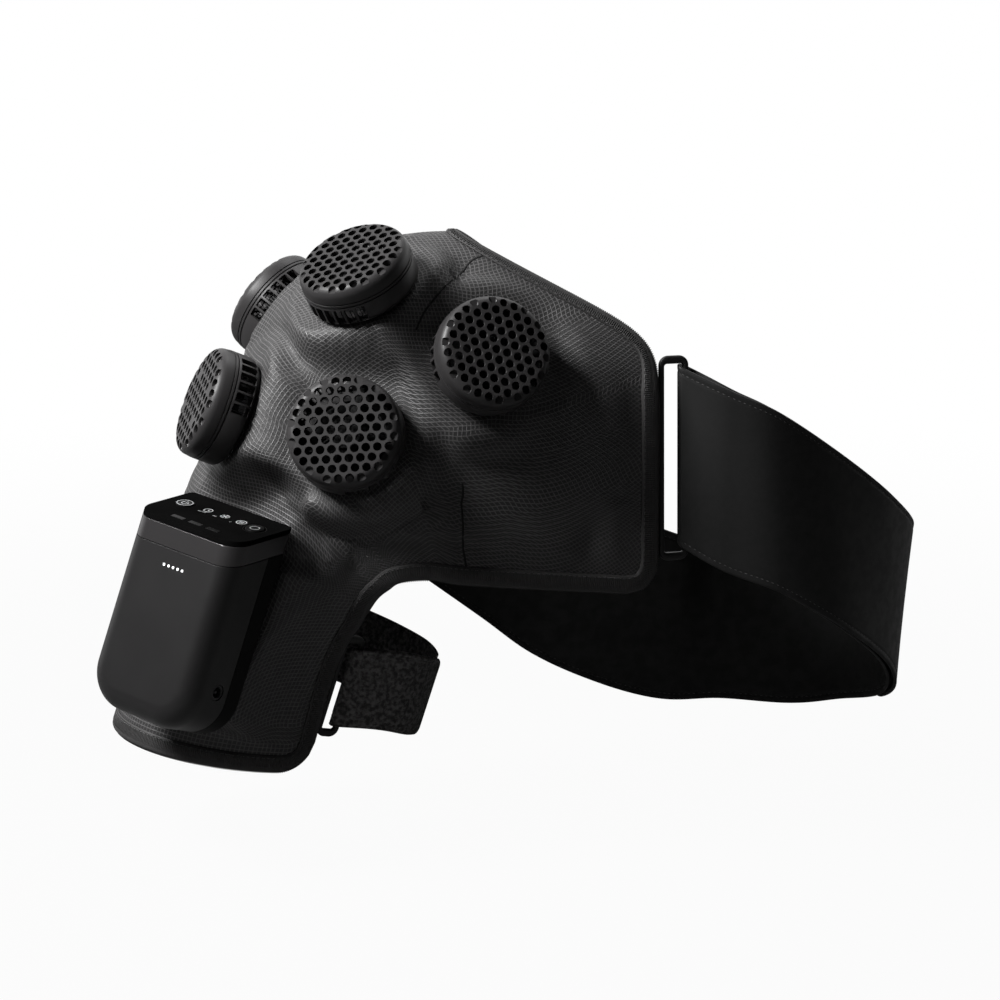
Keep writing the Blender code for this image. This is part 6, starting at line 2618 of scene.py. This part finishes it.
@dataclass
class Band:
    """A strap's mid line, its layers and how it folds round its ring."""

    reach: float
    settled: float
    steps: int
    return_share: float
    thickness: float
    close: float = 0.12
    bend_steps: int = 24

    def centre(self, share: float) -> tuple[Vector, Vector, Vector]:
        """Centre, half width vector and outward direction at a share of the run."""
        raise NotImplementedError

    def layer(self, share: float) -> float:
        """Distance of a layer from the mid line: wide at the ring, closing along the run."""
        step = min(max(share / self.close, 0), 1)
        return self.settled + (self.reach - self.settled) * (1 - step * step * (3 - 2 * step))

    def stations(self) -> list[tuple[Vector, Vector, Vector]]:
        """Stations from the sewn end to the ring's bar, round it and back to the free end.

        Returns:
            Centre, half width vector and outward direction of each station.
        """
        result = []
        for index in range(self.steps, -1, -1):
            share = index / self.steps
            point, side, out = self.centre(share)
            result.append((point - out * self.layer(share), side, out))
        point, side, out = self.centre(0)
        along = (point - self.centre(1 / self.steps)[0]).normalized()
        for index in range(1, self.bend_steps):
            angle = math.pi * index / self.bend_steps
            direction = along * math.sin(angle) - out * math.cos(angle)
            result.append((point + direction * self.reach, side, -direction))
        count = round(self.return_share * self.steps)
        for index in range(count + 1):
            share = index / self.steps
            point, side, out = self.centre(share)
            result.append((point + out * self.layer(share), side, -out))
        return result


@dataclass
class TorsoBand(Band):
    """The wide strap's run from the torso ring round to the back."""

    frame: Matrix = None
    bar: Vector = None
    width: float = 93 * MM
    probe: float = 0.5 / 36
    origin: float = 280 * MM * 0.578
    scale: tuple = (142 * MM, 98 * MM, 187 * MM)
    shares: tuple = (
        (0.257, -0.43, -0.464, 0.272, -0.43, 0.026), (0.451, -0.44, -0.53, 0.434, -0.42, -0.025),
        (0.696, -0.28, -0.655, 0.656, -0.26, -0.145), (0.878, 0.05, -0.79, 0.867, 0, -0.29),
        (0.907, 0.32, -0.865, 0.973, 0.36, -0.45), (0.757, 0.66, -0.95, 0.867, 0.74, -0.49),
        (0.572, 0.83, -0.99, 0.62, 0.92, -0.508), (0.303, 0.93, -1, 0.303, 0.99, -0.49),
        (0.054, 0.86, -0.99, 0.164, 0.86, -0.487), (-0.231, 0.77, -0.915, 0.037, 0.785, -0.45),
        (-0.447, 0.72, -0.83, -0.117, 0.715, -0.39), (-0.633, 0.745, -0.729, -0.301, 0.695, -0.289),
        (-0.914, 0.785, -0.581, -0.58, 0.755, -0.142), (-1.119, 0.8, -0.471, -0.787, 0.78, -0.032),
    )

    def __post_init__(self) -> None:
        """Lay out the lower and upper edge of the run."""
        side = self.frame.to_3x3() @ Vector((0, self.width / 2, 0))
        edge = Vector((self.origin, 0, 0))
        self.low, self.high = [self.bar - side], [self.bar + side]
        for row in self.shares:
            self.low.append(edge + Vector([share * size for share, size in zip(row[:3], self.scale)]))
            self.high.append(edge + Vector([share * size for share, size in zip(row[3:], self.scale)]))

    def centre(self, share: float) -> tuple[Vector, Vector, Vector]:
        """Centre, half width vector and outward direction at a share of the run.

        Args:
            share: how far along the run, from 0 to 1.

        Returns:
            Centre, half width vector and outward direction.
        """
        foot, head = curve_point(self.low, share), curve_point(self.high, share)
        after, before = min(share + self.probe, 1), max(share - self.probe, 0)
        ahead = (curve_point(self.low, after) + curve_point(self.high, after)) / 2
        behind = (curve_point(self.low, before) + curve_point(self.high, before)) / 2
        side = (head - foot).normalized() * self.width / 2
        return (foot + head) / 2, side, side.cross(behind - ahead).normalized()


@dataclass
class ArmBand(Band):
    """The narrow strap's run from the arm ring round to the arm panel's back edge."""

    frame: Matrix = None
    bar: Vector = None
    width: float = 43 * MM
    loop: float = 45 * MM
    rise: float = 274 * MM
    probe: float = 0.5 / 22
    generator: tuple = (0.314, 0.080, 0.947)
    shares: tuple = (
        (0.6, -0.73, -0.5551), (0.89, -0.42, -0.5765), (1, 0.06, -0.588), (0.86, 0.55, -0.5797),
        (0.5, 0.88, -0.5584), (0.09, 1.09, -0.5354), (-0.18, 1.18, -0.5206), (-0.44, 1.3, -0.5058),
    )

    def __post_init__(self) -> None:
        """Lay out the run's middle line."""
        self.points = [self.bar] + [
            Vector((x * self.loop, y * self.loop, z * self.rise)) for x, y, z in self.shares
        ]
        self.ring_side = self.frame.to_3x3() @ Vector((0, 1, 0))

    def centre(self, share: float) -> tuple[Vector, Vector, Vector]:
        """Centre, half width vector and outward direction at a share of the run.

        Args:
            share: how far along the run, from 0 to 1.

        Returns:
            Centre, half width vector and outward direction.
        """
        after, before = min(share + self.probe, 1), max(share - self.probe, 0)
        run = curve_point(self.points, before) - curve_point(self.points, after)
        side = self.ring_side.lerp(Vector(self.generator), share).normalized() * self.width / 2
        return curve_point(self.points, share), side, side.cross(run).normalized()


@dataclass(frozen=True)
class StrapLook:
    """How a strap's cross section and its free end are shaped."""

    name: str
    node: str
    finish: str
    columns: int
    seam_inset: float
    seam_depth: float
    corner: float
    grooves: tuple = ()
    groove_depth: float = 0.0


class Strap:
    """One strap as a fine closed solid with seams, rounded end corners and its own UV map."""

    SEAM_SPREAD = 0.55 * MM
    GROOVE_SPREAD = 0.42 * MM
    EDGE_ROUND = 0.9 * MM
    EDGE_FALL = 0.40
    END_STEPS = 26
    SEAM_START = 4 * MM
    SEAM_STEP = 2.2 * MM
    SEAM_TURN_STEPS = 40

    def __init__(self, shop: Workshop, band: Band, look: StrapLook) -> None:
        """Keep what the strap is made from.

        Args:
            shop: the workshop.
            band: the strap's run.
            look: its cross section and end.
        """
        self.shop = shop
        self.band = band
        self.look = look
        self.path = band.stations()
        self.runs = [0.0]
        for (low, *_), (high, *_) in zip(self.path, self.path[1:]):
            self.runs.append(self.runs[-1] + (high - low).length)

    def half_width(self, run: float) -> float:
        """Half width at a distance along the strap, drawn in at the free end's round corners.

        Args:
            run: the distance.

        Returns:
            The half width.
        """
        half = self.band.width / 2
        left = self.runs[-1] - run
        if left >= self.look.corner:
            return half
        step = 1 - left / self.look.corner
        return half - self.look.corner * (1 - math.sqrt(max(1 - step * step, 0)))

    def edge_gap(self, across: float, run: float) -> float:
        """Distance of a place from the nearest edge of the strap."""
        return min(self.half_width(run) - abs(across), self.runs[-1] - run)

    def relief(self, across: float, run: float) -> float:
        """Height of the strap's face under its nominal face, from its seams and grooves.

        Args:
            across: distance from the mid line.
            run: distance along the strap.

        Returns:
            The height.
        """
        gap = self.edge_gap(across, run)
        drop = self.look.seam_depth * math.exp(-((gap - self.look.seam_inset) / self.SEAM_SPREAD) ** 2)
        round_off = max(1 - gap / self.EDGE_ROUND, 0)
        drop += self.band.thickness * self.EDGE_FALL * round_off ** 2
        for groove in self.look.grooves:
            drop += self.look.groove_depth * math.exp(-((gap - groove) / self.GROOVE_SPREAD) ** 2)
        return drop

    def spread(self) -> list[float]:
        """Shares across the strap, closer together near its edges.

        Returns:
            The shares, from -1 to 1.
        """
        shares = []
        for index in range(self.look.columns + 1):
            share = index / self.look.columns * 2 - 1
            shares.append(math.copysign(1 - (1 - abs(share)) ** 1.7, share))
        return shares

    def build(self) -> bpy.types.Object:
        """Returns:
            The strap's object.
        """
        half_thick = self.band.thickness / 2
        shape = bmesh.new()
        layer = shape.loops.layers.uv.new("cloth")
        spread = self.spread()
        faces: dict[int, list] = {1: [], -1: []}
        for (centre, side, out), run in self.finer_path():
            unit = side.normalized()
            half = self.half_width(run)
            for way in (1, -1):
                row = []
                for share in spread:
                    across = share * half
                    height = half_thick - self.relief(across, run)
                    row.append((shape.verts.new(centre + unit * across + out * height * way), (run, across)))
                faces[way].append(row)
        self.stitch_faces(shape, layer, faces)
        bmesh.ops.remove_doubles(shape, verts=shape.verts, dist=MERGE)
        bmesh.ops.recalc_face_normals(shape, faces=shape.faces)
        item = solid(self.look.name, shape)
        self.shop.keep(item, self.look.finish, replaces=(self.look.node,))
        return item

    def finer_path(self) -> list[tuple]:
        """Stations with the free end's last ones set closer for its round corners.

        Returns:
            Pairs of station and distance.
        """
        result = []
        for index, station in enumerate(self.path):
            left = self.runs[-1] - self.runs[index]
            if left > self.look.corner + 2 * MM:
                result.append((station, self.runs[index]))
        first = len(result) - 1
        start = self.runs[first]
        for index in range(1, self.END_STEPS + 1):
            share = 1 - (1 - index / self.END_STEPS) ** 1.8
            run = start + (self.runs[-1] - start) * share
            result.append((self.station_at(run), run))
        return result

    def station_at(self, run: float) -> tuple[Vector, Vector, Vector]:
        """Station at a distance along the strap.

        Args:
            run: the distance.

        Returns:
            The station.
        """
        index = 0
        while index < len(self.runs) - 2 and self.runs[index + 1] < run:
            index += 1
        span = self.runs[index + 1] - self.runs[index]
        share = min(max((run - self.runs[index]) / span, 0), 1)
        low, high = self.path[index], self.path[index + 1]
        return tuple(a.lerp(b, share) for a, b in zip(low, high))

    def stitch_faces(self, shape: bmesh.types.BMesh, layer: object, faces: dict[int, list]) -> None:
        """Join the two faces of the strap into one closed skin.

        Args:
            shape: the shape that takes the faces.
            layer: its UV layer.
            faces: rows of (vertex, uv) on each face.
        """
        def quad(*corners: tuple) -> None:
            """Add one face from corners of (vertex, uv)."""
            face = shape.faces.new([corner[0] for corner in corners])
            for loop, corner in zip(face.loops, corners):
                loop[layer].uv = corner[1]

        for way in (1, -1):
            rows = faces[way]
            for low, high in zip(rows, rows[1:]):
                for j in range(len(low) - 1):
                    quad(low[j], low[j + 1], high[j + 1], high[j])
        top, bottom = faces[1], faces[-1]
        last = len(top[0]) - 1
        for i in range(len(top) - 1):
            for j in (0, last):
                quad(top[i][j], top[i + 1][j], bottom[i + 1][j], bottom[i][j])
        for i in (0, len(top) - 1):
            for j in range(last):
                quad(top[i][j], top[i][j + 1], bottom[i][j + 1], bottom[i][j])

    def stitch_stations(self, pitch: float) -> list[Station]:
        """Stations of the stitches along the seam, on the face that is seen on the return run.

        Args:
            pitch: distance between stitches.

        Returns:
            The stations.
        """
        line, facing = [], []
        inset = self.look.seam_inset
        start = self.runs[0] + self.SEAM_START
        stop = self.runs[-1] - inset
        places = []
        count = int((stop - start) / self.SEAM_STEP)
        for index in range(count + 1):
            run = start + (stop - start) * index / count
            places.append((run, self.half_width(run) - inset))
        end = places[-1][1]
        turns = [
            (stop, end - 2 * end * index / self.SEAM_TURN_STEPS) for index in range(1, self.SEAM_TURN_STEPS)
        ]
        loop = places + turns + [(run, -across) for run, across in reversed(places)]
        for run, across in loop:
            centre, side, out = self.station_at(run)
            height = self.band.thickness / 2 - self.relief(across, run)
            line.append(centre + side.normalized() * across - out * (height + 0.05 * MM))
            facing.append(-out)
        stations = []
        tree = search_tree(line)
        for point, run in spaced(line, pitch):
            face = facing[tree.find(point)[1]]
            stations.append(Station(point, face, run))
        return stations


@dataclass
class Straps:
    """The torso strap, the arm strap, their hook patches and their stitches."""

    shop: Workshop
    plan: RingFrame
    hook_thickness: float = 1.0 * MM
    hook_share: float = 0.9
    fit: float = 0.3 * MM

    def build(self) -> None:
        """Build both straps."""
        frame = self.plan.torso()
        band = TorsoBand(
            reach=self.plan.bar_reach() + 1.0 * MM, settled=1.95 * MM, steps=180, return_share=14 / 36,
            thickness=2.0 * MM,
            frame=frame, bar=self.plan.bar_centre(frame, TORSO_RING.slot_width),
        )
        look = StrapLook(
            "torso_band", "torso_strap", "strap_film", columns=72, seam_inset=3.4 * MM, seam_depth=0.30 * MM,
            corner=11 * MM,
        )
        strap = Strap(self.shop, band, look)
        item = strap.build()
        self.shop.repeated(
            "torso_band_stitches", strap.stitch_stations(2.9 * MM), stitch(2.1 * MM, 0.36 * MM),
            "seam_thread",
        )
        self.build_patch(band, "torso_hook_tape", "torso_hook_patch", 4 / 36, 90)
        frame = self.plan.arm()
        band = ArmBand(
            reach=self.plan.bar_reach() + 0.9 * MM, settled=1.7 * MM, steps=132, return_share=7 / 22,
            thickness=1.8 * MM,
            frame=frame, bar=self.plan.bar_centre(frame, ARM_RING.slot_width),
        )
        look = StrapLook(
            "arm_band", "arm_strap", "loop_pile", columns=64, seam_inset=6.2 * MM, seam_depth=0.22 * MM,
            corner=6 * MM, grooves=(1.6 * MM, 3.0 * MM, 4.4 * MM), groove_depth=0.26 * MM,
        )
        strap = Strap(self.shop, band, look)
        item = strap.build()
        self.build_patch(band, "arm_hook_tape", "arm_hook_patch", 4 / 22, 60)

    def build_patch(self, band: Band, name: str, node: str, share: float, steps: int) -> None:
        """Hook tape between a strap's two layers at its free end.

        Args:
            band: the strap's run.
            name: the piece's name.
            node: the CAD node that it stands for.
            share: its length as a share of the run.
            steps: stations along it.
        """
        rings = []
        half_thick = self.hook_thickness / 2
        for index in range(steps + 1):
            place = band.return_share - share * (1 - index / steps)
            centre, side, out = band.centre(place)
            side = side * self.hook_share
            fuzz = 0.18 * MM * noise.noise(centre * 900)
            lift = out * (half_thick + 0.05 * MM)
            reach = side * (1 + fuzz / side.length)
            rings.append(
                [centre + reach + lift, centre - reach + lift, centre - reach - lift, centre + reach - lift]
            )
        patch = solid(name, skin(rings))
        creased(patch, 40)
        self.shop.keep(patch, "hook_tape", replaces=(node,))


@dataclass
class Harness:
    """The flat cable sheet between the cover and the lining."""

    shop: Workshop
    sheet: Sheet
    drop: float = 3.3 * MM
    thickness: float = 0.9 * MM
    row_range: tuple = (0.14, 0.92)
    column_range: tuple = (-0.15, 0.55)

    def build(self, points: list[list[Vector]]) -> None:
        """Build the sheet under the cover's own points.

        Args:
            points: the cover's face, followed where it is pressed in.
        """
        (top, bottom), (left, right) = self.row_range, self.column_range
        rows = [i for i, row in enumerate(self.sheet.rows) if top <= row <= bottom]
        columns = [j for j, column in enumerate(self.sheet.columns) if left <= column <= right]
        shape = bmesh.new()
        grid = []
        for i in rows:
            line = [points[i][j] - self.sheet.normals[i][j] * self.drop for j in columns]
            grid.append([shape.verts.new(point) for point in line])
        for low, high in zip(grid, grid[1:]):
            for j in range(len(low) - 1):
                shape.faces.new((low[j], low[j + 1], high[j + 1], high[j]))
        self.sheet.cut_seats(shape)
        item = walled(solid("flat_wiring_sheet", shape), self.thickness)
        self.shop.keep(item, "harness_film", replaces=("wiring_harness",))


# Studio


@dataclass
class Studio:
    """Pale floor, soft lamps and the camera at the photograph's angle."""

    lens: float = 111.2
    sensor: float = 36.0
    distance: float = 1.6
    elevation: float = math.radians(10.0)
    aim: tuple[float, float] = (0.0829, -0.0570)
    floor_height: float = -0.235
    floor_size: float = 24.0
    lamps: tuple = (
        ("key", (-0.80, -0.38, 0.86), 0.48, 38.0),
        ("top", (0.25, 0.55, 1.20), 0.60, 2.2),
        ("fill", (-0.60, -1.30, 0.70), 0.90, 0.5),
    )
    lamp_aim: tuple[float, float, float] = (0.05, -0.02, -0.05)
    ambient: float = 0.03
    backdrop_reach: tuple[float, float] = (-0.10, 0.45)
    floor_white: float = 0.96

    def build(self) -> None:
        """Build the camera, the lamps, the world and the floor."""
        self.build_camera()
        self.build_lamps()
        self.build_world()
        self.build_floor()
        bpy.context.scene.view_settings.view_transform = "Standard"

    def build_camera(self) -> None:
        """Camera in front of the wrap, a little above it."""
        right = Vector((1, 0, 0))
        up = Vector((0, math.sin(self.elevation), math.cos(self.elevation)))
        forward = Vector((0, math.cos(self.elevation), -math.sin(self.elevation)))
        data = bpy.data.cameras.new("camera")
        data.lens = self.lens
        data.sensor_width = self.sensor
        data.clip_start = 0.05
        data.clip_end = 30
        camera = bpy.data.objects.new("camera", data)
        place = Matrix((right, up, -forward)).transposed().to_4x4()
        place.translation = right * self.aim[0] + up * self.aim[1] - forward * self.distance
        camera.matrix_world = place
        bpy.context.scene.collection.objects.link(camera)
        bpy.context.scene.camera = camera

    def build_lamps(self) -> None:
        """Soft area lamps aimed at the wrap."""
        for name, place, size, power in self.lamps:
            data = bpy.data.lights.new(name, "AREA")
            data.shape = "DISK"
            data.size = size
            data.energy = power
            lamp = bpy.data.objects.new(name, data)
            lamp.location = place
            away = Vector(place) - Vector(self.lamp_aim)
            lamp.rotation_euler = away.to_track_quat("Z", "Y").to_euler()
            bpy.context.scene.collection.objects.link(lamp)

    def seen(self, tree: Tree, backdrop: bpy.types.NodeSocket | float) -> bpy.types.NodeSocket:
        """How far a ray sees the white backdrop: camera rays fully, glossy and glass rays where it stands.

        Args:
            tree: the tree's builder.
            backdrop: 1 in the direction of the backdrop, 0 towards the room.

        Returns:
            The share of white.
        """
        path = tree.add("ShaderNodeLightPath")
        sent = tree.math("MAXIMUM", path.outputs["Is Glossy Ray"], path.outputs["Is Transmission Ray"])
        return tree.math("MAXIMUM", path.outputs["Is Camera Ray"], tree.math("MULTIPLY", sent, backdrop))

    def build_world(self) -> None:
        """Plain world: faint even light, and a white backdrop behind the wrap."""
        world = bpy.data.worlds.new("studio")
        bpy.context.scene.world = world
        world.use_nodes = True
        world.node_tree.nodes.clear()
        tree = Tree(world.node_tree)
        facing = tree.add("ShaderNodeSeparateXYZ", Vector=tree.add("ShaderNodeTexCoord").outputs["Generated"])
        backdrop = tree.ramp(facing.outputs["Y"], *self.backdrop_reach, 0.0, 1.0)
        light = tree.add("ShaderNodeBackground", Color=(1, 1, 1, 1), Strength=self.ambient)
        white = tree.add("ShaderNodeBackground", Color=(1, 1, 1, 1), Strength=1.0)
        mixed = tree.add(
            "ShaderNodeMixShader", s0=self.seen(tree, backdrop), s1=light.outputs[0], s2=white.outputs[0],
        )
        tree.add("ShaderNodeOutputWorld", Surface=mixed.outputs[0])

    def build_floor(self) -> None:
        """Wide pale floor under the wrap."""
        outline = rounded(self.floor_size, self.floor_size, 0.5, 4)
        heights = (self.floor_height - 0.01, self.floor_height)
        shape = skin([[Vector((x, y, height)) for x, y in outline] for height in heights])
        floor = solid("floor", shape, smooth=False)
        material = bpy.data.materials.new("pale_floor")
        material.use_nodes = True
        material.node_tree.nodes.clear()
        tree = Tree(material.node_tree)
        away = tree.add(
            "ShaderNodeVectorMath", {"operation": "LENGTH"},
            s0=tree.add("ShaderNodeNewGeometry").outputs["Position"],
        )
        share = tree.ramp(away.outputs["Value"], 0.4, 1.6, self.floor_white, 1.0)
        seen = tree.math("MULTIPLY", self.seen(tree, 0.08), share)
        matte = tree.add("ShaderNodeBsdfDiffuse", Color=(0.12, 0.12, 0.12, 1))
        white = tree.add("ShaderNodeEmission", Color=(1, 1, 1, 1), Strength=1.0)
        mixed = tree.add("ShaderNodeMixShader", s0=seen, s1=matte.outputs[0], s2=white.outputs[0])
        tree.add("ShaderNodeOutputMaterial", Surface=mixed.outputs[0])
        floor.data.materials.append(material)


def dress_nodes(shop: Workshop) -> None:
    """Give every carried CAD node its finish.

    Args:
        shop: the workshop with the finishes.
    """
    for part in frame["record"]["subparts"]:
        node = frame["nodes"][part["node"]]
        shop.finishes.dress(node, NODE_FINISHES[part["material_slot"]])


def main() -> None:
    """Build the wrap's looks in order and report them."""
    logging.basicConfig(level=logging.INFO, format="%(name)s: %(message)s")
    shop = Workshop()
    dress_nodes(shop)
    form = WrapForm()
    sheet = Sheet(form)
    shell = PaddedShell(shop, sheet)
    shell.build()
    Harness(shop, sheet).build(shell.pressed)
    for name, turns in MODULE_TURNS.items():
        CoolingModule(shop, name, form.seats[name], *turns).build()
    ControlUnit(shop, form.unit).build()
    plan = RingFrame(form)
    Rings(shop, plan).build()
    Straps(shop, plan).build()
    Studio().build()
    log.info("%d pieces made", shop.made)


if __name__ == "__main__":
    main()
